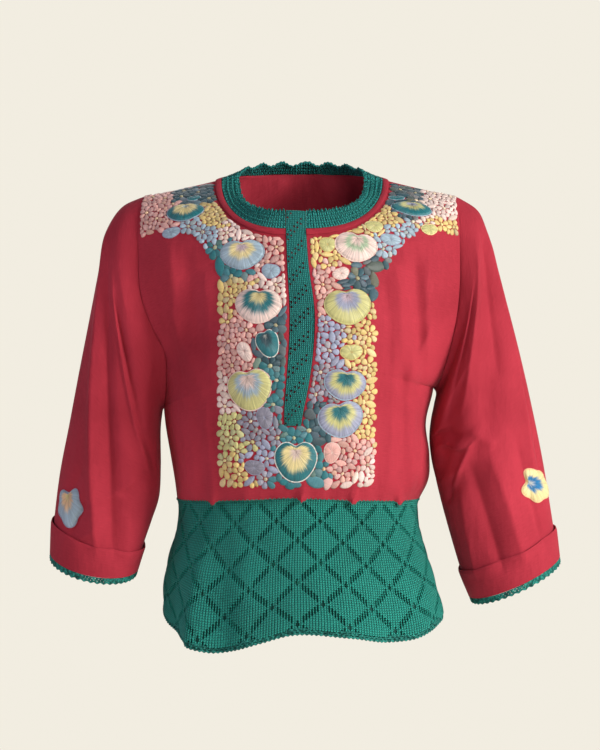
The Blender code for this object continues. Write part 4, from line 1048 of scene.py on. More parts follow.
def crochet_material(name, dark, light):
    """Twisted yarn in small clusters, with painted shade in the hollows between them."""
    material, tree, shader = material_of(name, 0.78, 0.12, GREEN_BLOOM)
    uv, place = coordinates(tree)
    cells = node(tree, "ShaderNodeTexVoronoi", [("Vector", uv), ("Scale", 250.0)]).outputs["Distance"]
    raised = maths(tree, "SUBTRACT", 1.0, cells)
    strands = noise(tree, place, 700.0, 3.0)
    cloud = noise(tree, place, 25.0, 3.0)
    # Painted shade: the colour darkens in the hollows between the clusters; the clouds and strands add
    # random tone.
    hollow_shade_and_tone = weighted(tree, (raised, 0.55), (cloud, 0.30), (strands, 0.25))
    coloured(tree, shader, hollow_shade_and_tone, (0.30, dark), (0.85, light))
    bumped(tree, shader, (weighted(tree, (raised, 1.0), (strands, 0.5)), 1.0, 0.0024))
    return material


def satin_material(name):
    """Floss in satin stitch: the mesh brings the colour, streaks along V mix random thread tone with painted
    sheen, and the threads along V catch the light.
    """
    material, tree, shader = material_of(name, 0.42, 0.25)
    shader.inputs["Specular IOR Level"].default_value = 0.5
    shader.inputs["Anisotropic"].default_value = 0.4
    tint = node(tree, "ShaderNodeVertexColor", layer_name="Tint").outputs["Color"]
    uv = coordinates(tree)[0]
    strand = noise(tree, stretched(tree, uv, (1600, 60, 1)), 1.0, 2.0)
    # Painted sheen and random tone: streaks along the threads lighten and darken the colour.
    sheen_and_tone_streaks = maths(tree, "ADD", 0.52, maths(tree, "MULTIPLY", strand, 0.96))
    grey = node(tree, "ShaderNodeCombineColor", [(0, sheen_and_tone_streaks), (1, sheen_and_tone_streaks), (2, sheen_and_tone_streaks)]).outputs[0]
    links = [(0, 1.0), (6, tint), (7, grey)]
    colour = node(tree, "ShaderNodeMix", links, data_type="RGBA", blend_type="MULTIPLY").outputs[2]
    tree.links.new(colour, shader.inputs["Base Color"])
    bumped(tree, shader, (weighted(tree, (waves(tree, uv, 320.0, 1.0), 1.0), (strand, 1.0)), 0.5, 0.0004))
    return material


def cell_corners(r, c, columns):
    """Corner points of a grid's cells at these rows and columns, the last column meeting the first."""
    n = (c + 1) % columns
    low, high = r * columns, (r + 1) * columns
    return np.stack([low + c, low + n, high + n, high + c], axis=1)


class Ground:
    """A piece of cloth that embroidery is laid on: finds its surface under a point."""

    def __init__(self, points, normals, keep):
        r, c = np.nonzero(keep)
        self.faces = cell_corners(r, c, points.shape[1])
        self.points = points.reshape(-1, 3)
        self.normals = normals.reshape(-1, 3)
        self.tree = BVHTree.FromPolygons(self.points.tolist(), self.faces.tolist())

    def under(self, at, along=None):
        """The surface's points and smooth normals: straight along a direction if given, else nearest."""
        places, ups = np.empty((len(at), 3)), np.empty((len(at), 3))
        for k, point in enumerate(at):
            hit = None
            if along is not None:
                start = Vector(point + along * REACH_ABOVE)
                hit = self.tree.ray_cast(start, Vector(-along), REACH_BELOW)
            if hit is None or hit[0] is None:
                hit = self.tree.find_nearest(Vector(point))
            corners = self.faces[hit[2]]
            near = 1 / (np.linalg.norm(self.points[corners] - np.array(hit[0]), axis=1) + 1e-5)
            places[k] = hit[0]
            ups[k] = (self.normals[corners] * near[:, None]).sum(axis=0)
        return places, unit(ups)

    def straight(self, x, z):
        """The surface's point behind (x, z), seen from the front."""
        hit = self.tree.ray_cast(Vector((x, -0.5, z)), Vector((0, 1, 0)), 1.0)
        if hit[0] is None:
            hit = self.tree.find_nearest(Vector((x, -0.1, z)))
        return np.array(hit[0])


def axes_at(up):
    """Sideways and upward directions in the cloth at a point."""
    sideways = unit(np.cross([0, 0, 1.0], up))
    sideways = sideways * np.sign(sideways[0])
    upward = unit(np.cross(up, sideways))
    return sideways, upward * np.sign(upward[2])


def thread(name):
    """The colour of a named thread."""
    return np.array(THREADS[name])


def blended(ground, centre, outline, throat, look, relief):
    """Two parts, each of points, faces, UVs and tints: threads that fan out from a throat to an outline,
    and a twisted cord laid along it."""
    place, up = ground.under(centre[None])
    place, up = place[0], up[0]
    sideways, upward = axes_at(up)
    spokes, rings = len(outline), PANSY_RINGS
    share = np.linspace(0, 1, rings)
    flat = throat + share[:, None, None] * (outline[None] - throat)
    target = place + flat[..., :1] * sideways + flat[..., 1:] * upward
    base, ups = ground.under(target.reshape(-1, 3), up)
    base, ups = base.reshape(target.shape), ups.reshape(target.shape)
    grain = chance.random(spokes)
    dome = np.sqrt(np.clip(1 - share**3, 0, 1)) * (0.62 + 0.38 * np.sin(np.pi * share))
    height = relief.lift + relief.rise * dome[:, None] * (0.90 + 0.20 * grain[None])
    height[-1] = 0.0001
    points = base + ups * height[..., None]
    jag = (grain - 0.5) * 0.13 + 0.03 * np.sin(np.arange(spokes) * 0.35)
    tints = np.empty((rings, spokes, 3))
    for k, s in enumerate(share):
        soft = np.clip((s + jag - look.first) / BLEND + 0.5, 0, 1)[:, None]
        softer = np.clip((s + jag - look.second) / BLEND + 0.5, 0, 1)[:, None]
        colour = lerp(thread(look.heart), thread(look.band), soft)
        tints[k] = lerp(colour, thread(look.rim), softer)
    tints *= (0.80 + 0.40 * chance.random(spokes))[None, :, None]
    r, c = (index.ravel() for index in np.mgrid[0 : rings - 1, 0:spokes])
    u = np.stack([c, c + 1, c + 1, c], axis=1) * THREAD_WIDTH
    v = np.stack([r, r, r + 1, r + 1], axis=1) * THREAD_STEP
    uvs = np.stack([u, v], axis=-1).reshape(-1, 2)
    petal = (points.reshape(-1, 3), cell_corners(r, c, spokes), uvs, tints.reshape(-1, 3))
    edge, edge_up = base[-1], ups[-1]
    ahead = unit(np.roll(edge, -1, axis=0) - np.roll(edge, 1, axis=0))
    aside = unit(np.cross(ahead, edge_up))
    around = np.linspace(0, 2 * np.pi, CORD_SIDES, endpoint=False)[None, :, None]
    radius = relief.cord * (1 + 0.12 * np.sin(np.arange(spokes) * 1.9))[:, None, None]
    ring = np.cos(around) * aside[:, None] + np.sin(around) * edge_up[:, None]
    tube = edge[:, None] + edge_up[:, None] * relief.cord * 0.8 + radius * ring
    a, b = (index.ravel() for index in np.mgrid[0:spokes, 0:CORD_SIDES])
    faces = np.roll(cell_corners(a, b, CORD_SIDES)[:, ::-1], 1, axis=1) % (spokes * CORD_SIDES)
    shades = (0.85 + 0.3 * chance.random(spokes)).repeat(CORD_SIDES)[:, None]
    tint = np.tile(thread(look.outline), (spokes * CORD_SIDES, 1)) * shades
    return [petal, (tube.reshape(-1, 3), faces, np.zeros((4 * len(faces), 2)), tint)]


def joined(name, parts, material):
    """One object of several parts' points, faces, UVs and tints."""
    starts = np.cumsum([0] + [len(part[0]) for part in parts])
    faces = [part[1] + start for part, start in zip(parts, starts)]
    points, uvs, tints = (np.concatenate([part[k] for part in parts]) for k in (0, 2, 3))
    return build(name, points, np.concatenate(faces), material, uvs, tints)


def padded(name, parts, material):
    """One object of the small shapes' triangles and quads, their UVs given for each point."""
    offset, faces, uvs = 0, [], []
    for points, part_faces, flat, _ in parts:
        for face in part_faces:
            corners = face[:3] if face[2] == face[3] else face
            faces.append([i + offset for i in corners])
            uvs.append(flat[corners])
        offset += len(points)
    points, tints = (np.concatenate([part[k] for part in parts]) for k in (0, 3))
    return build(name, points, faces, material, np.concatenate(uvs), tints)


def outline_of(width, height, turn, notch, spokes, lobes=0.0):
    """A flower's outline in the cloth, turned by some degrees, with five more or less marked lobes."""
    angle = np.linspace(0, 2 * np.pi, spokes, endpoint=False)
    radius = petal_radius(angle, width, height, notch)
    radius = radius * (1 + lobes * np.cos(5 * (angle - np.pi / 2 + LOBE_SHIFT)))
    turned = angle + math.radians(turn)
    return radius[:, None] * np.stack([np.cos(turned), np.sin(turned)], axis=-1)


def large_flower(ground, at, row, turn, lobes, satin):
    """A padded flower, whose threads meet at a throat above its middle, and the node that it stands for."""
    tilt = math.radians(turn)
    reach = 0.5 * row.height * (0.80 - 1.2 * (row.notch + CLEFT))
    throat = reach * np.array([-math.sin(tilt), math.cos(tilt)])
    outline = outline_of(row.width, row.height, turn, row.notch + CLEFT, PANSY_SPOKES, lobes)
    parts = blended(ground, at, outline, throat, LOOKS[row.name], FLOWER_RELIEF)
    return joined(f"stitched_{row.name}", parts, satin), row.name


def make_flowers(front, sleeves, satin):
    """The large flowers, and the buds."""
    made = [large_flower(front, front.straight(row.x, row.z), row, row.turn, 0.0, satin) for row in FLOWERS]
    for row in SLEEVE_FLOWERS:
        rings, ground = sleeves[row.side]
        at = rings[int(row.s * SLEEVE_ROWS), int(row.turn / 360 * SLEEVE_AROUND)]
        made.append(large_flower(ground, at, row, row.lean, SLEEVE_LOBES, satin))
    buds = []
    for row in BUDS:
        look = Look(row.thread, row.thread, row.outline, row.outline, 0.10, 0.30)
        outline = outline_of(row.width, row.height, row.turn, BUD_NOTCH, BUD_SPOKES)
        buds += blended(front, front.straight(row.x, row.z), outline, np.zeros(2), look, BUD_RELIEF)
    return made, joined("stitched_buds", buds, satin)


def tree_of(points, numbers=None):
    """The points in a tree that finds the nearest, numbered in their order unless numbers are given."""
    tree = KDTree(len(points))
    for k, point in enumerate(points):
        tree.insert(point, k if numbers is None else int(numbers[k]))
    tree.balance()
    return tree


def motif_places(front, front_grid):
    """Dense points of the embroidered cloth that no large flower, bud, trim or seam covers, their normals,
    and which of them may hold a motif's seed."""
    points, normals, keep = front_grid
    steps = np.arange(4) / 4
    across = [lerp(g[:-1, None], g[1:, None], steps[None, :, None, None]) for g in (points, normals)]
    both = [lerp(g[:, :, :-1, None], g[:, :, 1:, None], steps[None, None, None, :, None]) for g in across]
    near_front = (both[0][..., 1] < -0.004) & keep[:, None, :, None]
    dots, ups = both[0][near_front], unit(both[1][near_front])
    x, z = dots[:, 0], dots[:, 2]
    free = bib(x, z, -0.0025)
    beside = read(PLACKET, "half", z) + STRIP_MARGIN
    free &= (np.abs(x - read(PLACKET, "centre", z)) >= beside) | (z <= SLIT_BOTTOM_Z)
    neck = tree_of(neck_track(0.004)[0])
    for k in np.flatnonzero(free):
        free[k] = neck.find(dots[k])[2] > NECK_MARGIN
    for side in SIDES:
        edge = armhole(side, np.linspace(0, 1, 60), False)
        edge_x = np.interp(z, edge[:, 2], np.abs(edge[:, 0]))
        free &= ~((np.sign(x) == side.sign) & (np.abs(x) > edge_x - ARMHOLE_MARGIN))
    for row in FLOWERS + BUDS:
        centre = front.straight(row.x, row.z)
        offset = dots - centre
        sideways, upward = axes_at(front.under(centre[None])[1][0])
        a, b = offset @ sideways, offset @ upward
        angle = (np.arctan2(b, a) - math.radians(row.turn)) % (2 * np.pi)
        radius = petal_radius(angle, row.width, row.height, getattr(row, "notch", BUD_NOTCH))
        near = np.linalg.norm(offset, axis=1) < FLOWER_REACH
        free &= ~(near & (np.hypot(a, b) < radius + FLOWER_MARGIN))
    dots, ups = dots[free], ups[free]
    return dots, ups, np.flatnonzero(bib(dots[:, 0], dots[:, 2], 0.0012))


def home_of(x, z):
    """The colour at home nearest to a place on the front."""
    homes = np.array([[h.x, h.z] for h in HOMES])
    return HOMES[int(np.argmin((homes[:, 0] - x) ** 2 + (homes[:, 1] - z) ** 2))].thread


def width_at(dot):
    """How much wider than the others a motif is here."""
    return WIDE if home_of(dot[0], dot[2]) in WIDE_THREADS else 1.0


def scattered(dots, ups, inside):
    """Seeds of the small motifs: rosettes first, then leaves, petals and berries in what is left."""
    seeds, owner, kinds, cells = [], [], [], {}
    cloud = tree_of(dots[inside], inside)

    def crowded(point, room):
        at = np.floor(point / SEED_CELL).astype(int)
        for shift in np.ndindex(3, 3, 3):
            for other in cells.get(tuple(at + shift - 1), ()):
                if np.linalg.norm(seeds[other] - point) < room:
                    return True
        return False

    def plant(points, kind, core=None):
        for point in points:
            cells.setdefault(tuple(np.floor(point / SEED_CELL).astype(int)), []).append(len(seeds))
            seeds.append(point)
            owner.append(len(kinds))
        kinds.append((kind, core))

    order = chance.permutation(inside)
    for k in order[:ROSETTE_TRIES]:
        sideways, upward = axes_at(ups[k])
        count = int(chance.integers(5, 8))
        turn = chance.uniform(0, 2 * np.pi) + np.arange(count) * 2 * np.pi / count
        way = np.cos(turn)[:, None] * sideways + np.sin(turn)[:, None] * upward
        reach = ROSETTE_REACH + ROSETTE_GROWTH * (count - 5)
        near, far = dots[k] + way * reach, dots[k] + way * (reach + ROSETTE_PETAL)
        if any(cloud.find(p)[2] > ROSETTE_SLACK for p in far):
            continue
        if any(crowded(p, ROSETTE_ROOM) for p in [dots[k], *near, *far]):
            continue
        plant([dots[k]], "heart")
        for pair in zip(near, far):
            plant(pair, "rosette", dots[k])
    shares = np.array([kind.share for kind in KINDS])
    for k in np.concatenate([order] * 2)[:MOTIF_TRIES]:
        wide = width_at(dots[k])
        kind = KINDS[chance.choice(len(KINDS), p=shares)]
        sideways, upward = axes_at(ups[k])
        turn = chance.uniform(0, 2 * np.pi)
        way = math.cos(turn) * sideways + math.sin(turn) * upward
        row = [dots[k] + way * kind.step * wide * (j - (kind.points - 1) / 2) for j in range(kind.points)]
        if any(cloud.find(p)[2] > MOTIF_SLACK or crowded(p, kind.room * wide) for p in row):
            continue
        plant(row, kind.name)
    return np.array(seeds), np.array(owner), kinds


def motif_faces():
    """Faces of a low dome: a fan of triangles at its top, then rings of quads."""
    turns = [[j, (j + 1) % MOTIF_SIDES] for j in range(MOTIF_SIDES)]
    faces = [[0, 1 + a, 1 + b, 1 + b] for a, b in turns]
    for ring in range(len(MOTIF_SHARES) - 1):
        near, far = 1 + ring * MOTIF_SIDES, 1 + (ring + 1) * MOTIF_SIDES
        faces += [[near + a, far + a, far + b, near + b] for a, b in turns]
    return faces


def motif_width(kind, angle):
    """How wide a motif is at each angle round it: pointed, round or broader at one end."""
    if kind == "leaf":
        return np.sin(angle) * np.abs(np.sin(angle)) ** 0.55 * 1.12
    if kind in ("berry", "heart"):
        return np.sin(angle)
    return np.sin(angle) * (1 + 0.30 * np.cos(angle))


def make_motifs(front, front_grid):
    """Every small motif as a low padded shape that fills its own share of the cloth."""
    dots, ups, inside = motif_places(front, front_grid)
    seeds, owner, kinds = scattered(dots, ups, inside)
    tree = tree_of(seeds)
    mine = np.full(len(dots), -1)
    for k, dot in enumerate(dots):
        _, seed, distance = tree.find(dot)
        if distance < MOTIF_REACH * width_at(dot):
            mine[k] = owner[seed]
    order = np.argsort(mine, kind="stable")
    starts = np.searchsorted(mine[order], np.arange(len(kinds) + 1))
    angle = np.linspace(0, 2 * np.pi, MOTIF_SIDES, endpoint=False)
    domes = [math.sqrt(1 - share**2.6) for share in MOTIF_SHARES]
    faces = motif_faces()
    parts = []
    for k, (kind, core) in enumerate(kinds):
        cell = order[starts[k] : starts[k + 1]]
        if len(cell) < 12:
            continue
        spot, up = dots[cell].mean(axis=0), unit(ups[cell].mean(axis=0))
        sideways, upward = axes_at(up)
        flat = np.stack([(dots[cell] - spot) @ sideways, (dots[cell] - spot) @ upward], axis=-1)
        way = np.linalg.eigh(np.cov(flat.T))[1][:, 1] * chance.choice([-1, 1])
        if core is not None:
            out = np.array([(spot - core) @ sideways, (spot - core) @ upward])
            way = out / np.linalg.norm(out)
        across = np.array([-way[1], way[0]])
        spread = DENSE if home_of(spot[0], spot[2]) in WIDE_THREADS else SPREAD
        long = spread * 2 * math.sqrt(np.cov(flat @ way)) - MOTIF_GAP / 2
        short = max(spread * 2 * math.sqrt(np.cov(flat @ across)) - MOTIF_GAP, MOTIF_LEAST)
        width = motif_width(kind, angle)
        rim = (long * np.cos(angle))[:, None] * way + (short * width)[:, None] * across
        drift = chance.normal(0, HOME_STRAY, 2)
        colour = thread(home_of(spot[0] + drift[0], spot[2] + drift[1]))
        if kind == "heart":
            colour = lerp(colour, thread("cream"), 0.5)
        other = thread(MINGLED[chance.integers(len(MINGLED))])
        colour = lerp(colour, other, 0.25 * chance.random() ** 2)
        colour = colour * chance.uniform(0.82, 1.28)
        rise = MOTIF_RISE * chance.uniform(0.8, 1.2)
        shape = np.concatenate([np.zeros((1, 2))] + [rim * share for share in MOTIF_SHARES])
        height = rise * np.concatenate([[1.0], np.repeat(domes, MOTIF_SIDES)]) + 0.00005
        surface = fitted(dots[cell], spot, up, sideways, upward, shape)
        points = spot + shape[:, :1] * sideways + shape[:, 1:] * upward + up * (surface + height)[:, None]
        tints = np.tile(colour, (len(points), 1))
        # Painted shade: the two outer rings of each motif are darker, where it curves down into the cloth.
        tints[-MOTIF_SIDES:] *= 0.62
        tints[-2 * MOTIF_SIDES : -MOTIF_SIDES] *= 0.90
        parts.append((points, faces, shape @ np.stack([way, across], axis=1), tints))
    return parts


def fitted(cloud, spot, up, sideways, upward, shape):
    """Height of the cloth over a motif's plane, from a quadratic fitted to the dots under it."""
    offset = cloud - spot

    def terms(a, b):
        return np.stack([np.ones_like(a), a, b, a * a, a * b, b * b], axis=-1)

    known = terms(offset @ sideways, offset @ upward)
    scale = np.array([1, 1e3, 1e3, 1e5, 1e5, 1e5])
    solved = np.linalg.lstsq(known * scale, offset @ up, rcond=1e-6)[0]
    return np.clip(terms(shape[:, 0], shape[:, 1]) * scale @ solved, -0.004, 0.004)


def rippled(points, normals, across, along, depth):
    """The grid with small lumps on it, a number of them across and along."""
    rows, columns = points.shape[:2]
    a = np.sin(np.arange(rows) / rows * np.pi * across)[:, None]
    b = np.sin(np.arange(columns) / columns * np.pi * along)[None]
    return points + normals * (depth * a * b)[..., None]


def pierced(rows, columns, hole_rows, step, width=1, phase=2):
    """Which cells of a strip are there: some rows have small holes, every other one further along."""
    keep = np.ones((rows, columns), bool)
    for number, row in enumerate(hole_rows):
        first = (number % 2) * phase
        for k in range(width):
            keep[row, first + 1 + k : columns - 1 : step] = False
    return keep


def make_panels(cotton):
    """The front and the back, with their grids of points, normals and cells that are there."""
    grids = {}
    core = np.array([0, 0, -0.2])
    for name, back in (("front", False), ("back", True)):
        points, keep = panel(back)
        grids[name] = (points, normals_of(points, core), keep)
    for column in (0, -1):
        both = unit(grids["front"][1][:, column] + grids["back"][1][:, column])
        grids["front"][1][:, column] = grids["back"][1][:, column] = both
    pieces = {}
    for name, (points, normals, keep) in grids.items():
        outer = points.copy()
        for edge in (np.s_[:, 0], np.s_[:, -1], np.s_[-1]):
            outer[edge] -= normals[edge] * SEAM_SINK
        if name == "back":
            middle = points.shape[1] // 2
            outer[:, middle] -= normals[:, middle] * SEAM_SINK
        pieces[name] = wall(f"cloth_{name}", outer, points - normals * COTTON, cotton, keep)
    return grids, pieces


def make_sleeves(cotton):
    """The sleeves, with their rings and normals."""
    sleeves, pieces = {}, {}
    for side in SIDES:
        rings = sleeve_rings(side)
        normals = normals_of(rings, rings.mean(axis=1, keepdims=True), True)
        outer = rings.copy()
        outer[0] -= normals[0] * SEAM_SINK
        inner = rings - normals * COTTON
        sleeves[side.name] = (rings, normals)
        pieces[side.name] = wall(f"cloth_sleeve_{side.name}", outer, inner, cotton, wrap=True)
    return sleeves, pieces


def make_overlock(grids, crochet):
    """Small slanting stitches over the waist seam, all the way round."""
    sides = 5
    parts, faces = [], []
    turn = np.linspace(0, 2 * np.pi, sides, endpoint=False)[:, None]
    for r in range(0, 3 * sides, sides):
        pairs = [(r + j, r + (j + 1) % sides) for j in range(sides)]
        faces += [[a, b, b + sides, a + sides] for a, b in pairs]
    for name in ("front", "back"):
        points, normals, _ = grids[name]
        length = length_along(points[0])
        even = np.arange(OVERLOCK_PITCH / 2, length[-1], OVERLOCK_PITCH)
        line, up = (resampled(even, length, grid[0]) for grid in (points, normals))
        ahead = unit(np.gradient(line, axis=0))
        for k, (at, out, way) in enumerate(zip(line, unit(up), ahead)):
            lean = unit((0.9 if k % 2 else -0.9) * way + np.array([0, 0, -1.0]))
            ring = np.cos(turn) * unit(np.cross(lean, out)) + np.sin(turn) * out
            middle = at + out * 0.0006 + np.array([0, 0, 0.0002])
            shell = np.concatenate([
                middle + lean * f * OVERLOCK_LENGTH / 2 + ring * OVERLOCK_THICK * thick
                for f, thick in ((-1, 0.3), (-0.6, 1), (0.6, 1), (1, 0.3))
            ])
            parts.append((shell, faces, np.zeros((len(shell), 2)), np.ones((len(shell), 3))))
    return padded("overlock_waist", parts, crochet)


def make_cuffs(sleeves, cotton, crochet):
    """The turned-up cuffs over the sleeves' ends, and the edging below each."""
    cuffs, edgings = {}, {}
    first = round(CUFF_TOP * SLEEVE_ROWS)
    around = np.arange(SLEEVE_AROUND) * 2 * np.pi / SLEEVE_AROUND
    fine = 3
    turn = np.arange(SLEEVE_AROUND * fine) / fine
    for side in SIDES:
        rings, normals = sleeves[side.name]
        low, up = rings[first:], normals[first:]
        loose = 1 - np.linspace(0, 1, len(low))[:, None]
        flare = CUFF_GAP + (CUFF_FLARE + CUFF_WAVE * np.sin(CUFF_WAVES * around)[None]) * loose
        under = low + up * flare[..., None]
        outer = under + up * COTTON
        outer[0] -= up[0] * COTTON * 0.5
        cuffs[side.name] = wall(f"cloth_cuff_{side.name}", outer, under, cotton, wrap=True)
        down = unit(rings[-1] - rings[-3])
        start = rings[-1] + down * 0.0004 + up[-1] * COTTON / 2
        start, down, out = (
            resampled(turn, np.arange(SLEEVE_AROUND + 1), np.concatenate([line, line[:1]]))
            for line in (start, down, up[-1])
        )
        down, out = unit(down), unit(out)
        scallop = 1 + 0.12 * np.sin(np.arange(len(turn)) * 2 * np.pi / 12)
        reach = np.linspace(0, 1, EDGING_ROWS + 1)[:, None, None] * CUFF_EDGING * scallop[None, :, None]
        edge = start[None] + down[None] * reach
        out = np.broadcast_to(out, edge.shape)
        lumps = rippled(edge, out, EDGING_ROWS, len(turn) // 3, EDGING_LUMP)
        keep = pierced(EDGING_ROWS, len(turn), (1, 3), 6)
        half = out * CROCHET / 2
        name = f"crochet_cuff_{side.name}"
        edgings[side.name] = wall(name, lumps + half, lumps - half, crochet, keep, wrap=True)
    return cuffs, edgings


def make_neckband(crochet):
    """The band round the neck: ribs along it, a toothed edge, and scallops at the back."""
    seam, top, length = neck_track(0.0014)
    rise = unit(top - seam)
    at_back = np.clip((seam[:, 1] + 0.02) / 0.05, 0, 1)
    scallops = np.cos(2 * np.pi * SCALLOPS * length / length[-1]) * at_back
    loose = (1 + 0.5 * np.sin(length / LOOSE_PITCH * 2 * np.pi)) * (1 - 0.6 * at_back)
    teeth = (np.abs(np.sin(np.pi * length / TOOTH_PITCH)) - 0.5) * loose
    level = np.linspace(0, 1, BAND_ROWS)[:, None]
    grid = np.array([lerp(seam + rise * BAND_GAP, top, f) for f in level[:, 0]])
    normals = normals_of(grid, np.array([0, 0, -0.1]))
    high = np.clip((level - 0.55) / 0.45, 0, 1) ** 1.3
    taller = high * (SCALLOP_HEIGHT * scallops + TOOTH_HEIGHT * teeth)[None]
    drift = 0.35 * np.sin(length / 0.045 * 2 * np.pi)[None]
    ribs = BAND_RIB * np.sin((level + 0.04 * drift) * np.pi * 8)
    clusters = BAND_LUMP * np.sin(length / 0.0060 * 2 * np.pi + 2 * drift) * np.sin(level * np.pi * 8)
    out = high * (SCALLOP_LIFT * scallops + TOOTH_LIFT * teeth) + ribs + clusters
    grid = grid + rise[None] * taller[..., None] + normals * out[..., None]
    keep = pierced(BAND_ROWS - 1, grid.shape[1] - 1, (2, 6, 10), 5)
    half = normals * CROCHET / 2
    uv = np.stack(np.broadcast_arrays(length[None] / ROW_STITCH, level * 7), axis=-1)
    return wall("crochet_neckband", grid + half, grid - half, crochet, keep, uv=uv, web=~keep)


def make_binding(grounds, cotton):
    """The rounded strip of cotton that lies along the neck seam on the front and the back."""
    seam = neck_track(0.002)[0]
    tangent = unit(np.gradient(seam, axis=0))
    names = np.where(seam[:, 1] < 0.002, "front", "back")

    def on_cloth(points):
        base, normal = np.empty_like(points), np.empty_like(points)
        for name in ("front", "back"):
            chosen = names == name
            base[chosen], normal[chosen] = grounds[name].under(points[chosen])
        return base, normal

    ups = on_cloth(seam)[1]
    ups = unit(ups + 0.5 * (np.roll(ups, 1, axis=0) + np.roll(ups, -1, axis=0)))
    away = unit(np.cross(ups, tangent))
    away = away * np.sign((away * (seam - seam.mean(axis=0))).sum(axis=1).mean())
    rows = []
    for f in np.linspace(0, 1, 9):
        base, normal = on_cloth(seam + away * BINDING_SEEN * f)
        rows.append(base + normal * (BINDING_LIFT + BINDING_ROUND * np.sin(np.pi * f) ** 0.6))
    strip = np.array(rows)
    up = normals_of(strip, np.array([0, 0, -0.1]))
    return wall("cloth_binding", strip + up * BINDING * 0.6, strip - up * BINDING * 0.4, cotton)


def make_placket(crochet):
    """The strip in the slit, with slanting double rows of eyelets."""
    z = np.linspace(SLIT_BOTTOM_Z + 0.0004, NECK_FRONT[1], 400)
    centre, half = read(PLACKET, "centre", z), read(PLACKET, "half", z) - 0.0004
    y = read(BODICE, "front", z)
    top = neck_track(0.004)[1]
    lines = []
    for end, sign in ((0, -1), (-1, 1)):
        low = np.stack([centre + sign * half, y, z], axis=-1)
        corner = top[end] - np.array([sign * 0.0004, 0, 0])
        line = np.concatenate([low, lerp(low[-1], corner, np.linspace(0, 1, 60)[1:, None])])
        length = length_along(line)
        even = np.linspace(0, length[-1], round(length[-1] / PLACKET_ROW) + 1)
        lines.append(resampled(even, length, line))
    rows = min(len(line) for line in lines)
    left, right = (line[:rows] for line in lines)
    cells = PLACKET_CELLS
    grid = lerp(left[:, None], right[:, None], np.linspace(0, 1, cells + 1)[None, :, None])
    normals = normals_of(grid, np.array([0, 0, -0.2]))
    r, c = np.mgrid[0:rows, 0 : cells + 1]
    bow = PLACKET_BOW * np.sin(np.pi * c / cells)
    basket = PLACKET_LUMP * np.sin(r * np.pi / 2) * np.sin((c + 2 * (r // 4 % 2)) * np.pi / 2)
    grid = grid + normals * (bow + basket)[..., None]
    keep = np.ones((rows - 1, cells), bool)
    for column in range(1, cells - 3, 4):
        for shift in (0, 5):
            for row in range((column + shift) % EYELET_LINE_CELLS, rows - 4, EYELET_LINE_CELLS):
                keep[row : row + 2, column : column + 2] = False
    half_wall = normals * CROCHET / 2
    uv = np.stack([c / 2, r / 2], axis=-1)
    return wall("knit_placket", grid + half_wall, grid - half_wall, crochet, keep, uv=uv)


def peplum_grid(first, last):
    """Half the peplum: its points with a column on each side of every stitch's gap, which cells are there,
    the stitches as UVs, and which missing cells have a floor."""
    stitches = DIAMONDS * DIAMOND_STITCHES
    half = DIAMOND_STITCHES // 2
    dense = np.linspace(first, last, 721)
    gaps = np.arange(1, stitches)
    shares = np.stack([gaps - GAP_HALF, gaps + GAP_HALF], axis=1).ravel() / stitches
    shares = np.concatenate([[0], shares, [1]])
    step = LEVEL_STEP / STEP_ROWS
    heights = np.append(np.arange(0, 1, step), 1.0)
    if heights[-1] - heights[-2] < step / 2:
        heights = np.delete(heights, -2)
    grid = []
    for h in heights:
        length = length_along(peplum_ring(dense, np.full_like(dense, h)))
        turns = np.interp(shares * length[-1], length, dense)
        grid.append(peplum_ring(turns, np.full_like(turns, h)))
    keep = np.ones((len(heights) - 1, len(shares) - 1), bool)
    r, c = np.mgrid[0 : keep.shape[0], 0 : keep.shape[1]]
    stitch = (c + 1) // 2
    gap = c % 2 == 1
    from_crossing = np.minimum(stitch % half, half - stitch % half)
    for way in (-2, 2):
        near = (r + way * stitch + GAP_ROWS // 2) % (2 * STEP_ROWS) < GAP_ROWS
        keep &= ~(near & gap & (from_crossing != 1))
    web = ~keep
    for level in range(1, LATTICE_LEVELS + 1):
        for k in range(1, 2 * DIAMONDS):
            if (k + level) % 2 == 0:
                middle = 2 * half * k - 1
                row = level * STEP_ROWS
                crossing = np.s_[row - 1 : row + 2, middle - 1 : middle + 2]
                keep[crossing] = False
                web[crossing] = level > LAST_OPEN_LEVEL
    keep[:3] = True
    web &= ~keep
    uv = np.stack(np.broadcast_arrays(shares[None] * stitches, heights[:, None] / step / 2), axis=-1)
    return np.array(grid), keep, uv, web


def puffed(uv):
    """How far the lattice's diamonds stand out at each stitch: most at their middles."""
    across = uv[..., 0] / DIAMOND_STITCHES
    down = uv[..., 1] * 2 / (2 * STEP_ROWS)
    rising, falling = np.sin(np.pi * (across + down)), np.sin(np.pi * (across - down))
    return DIAMOND_RISE * np.sqrt(np.abs(rising * falling)) - DIAMOND_RISE / 2


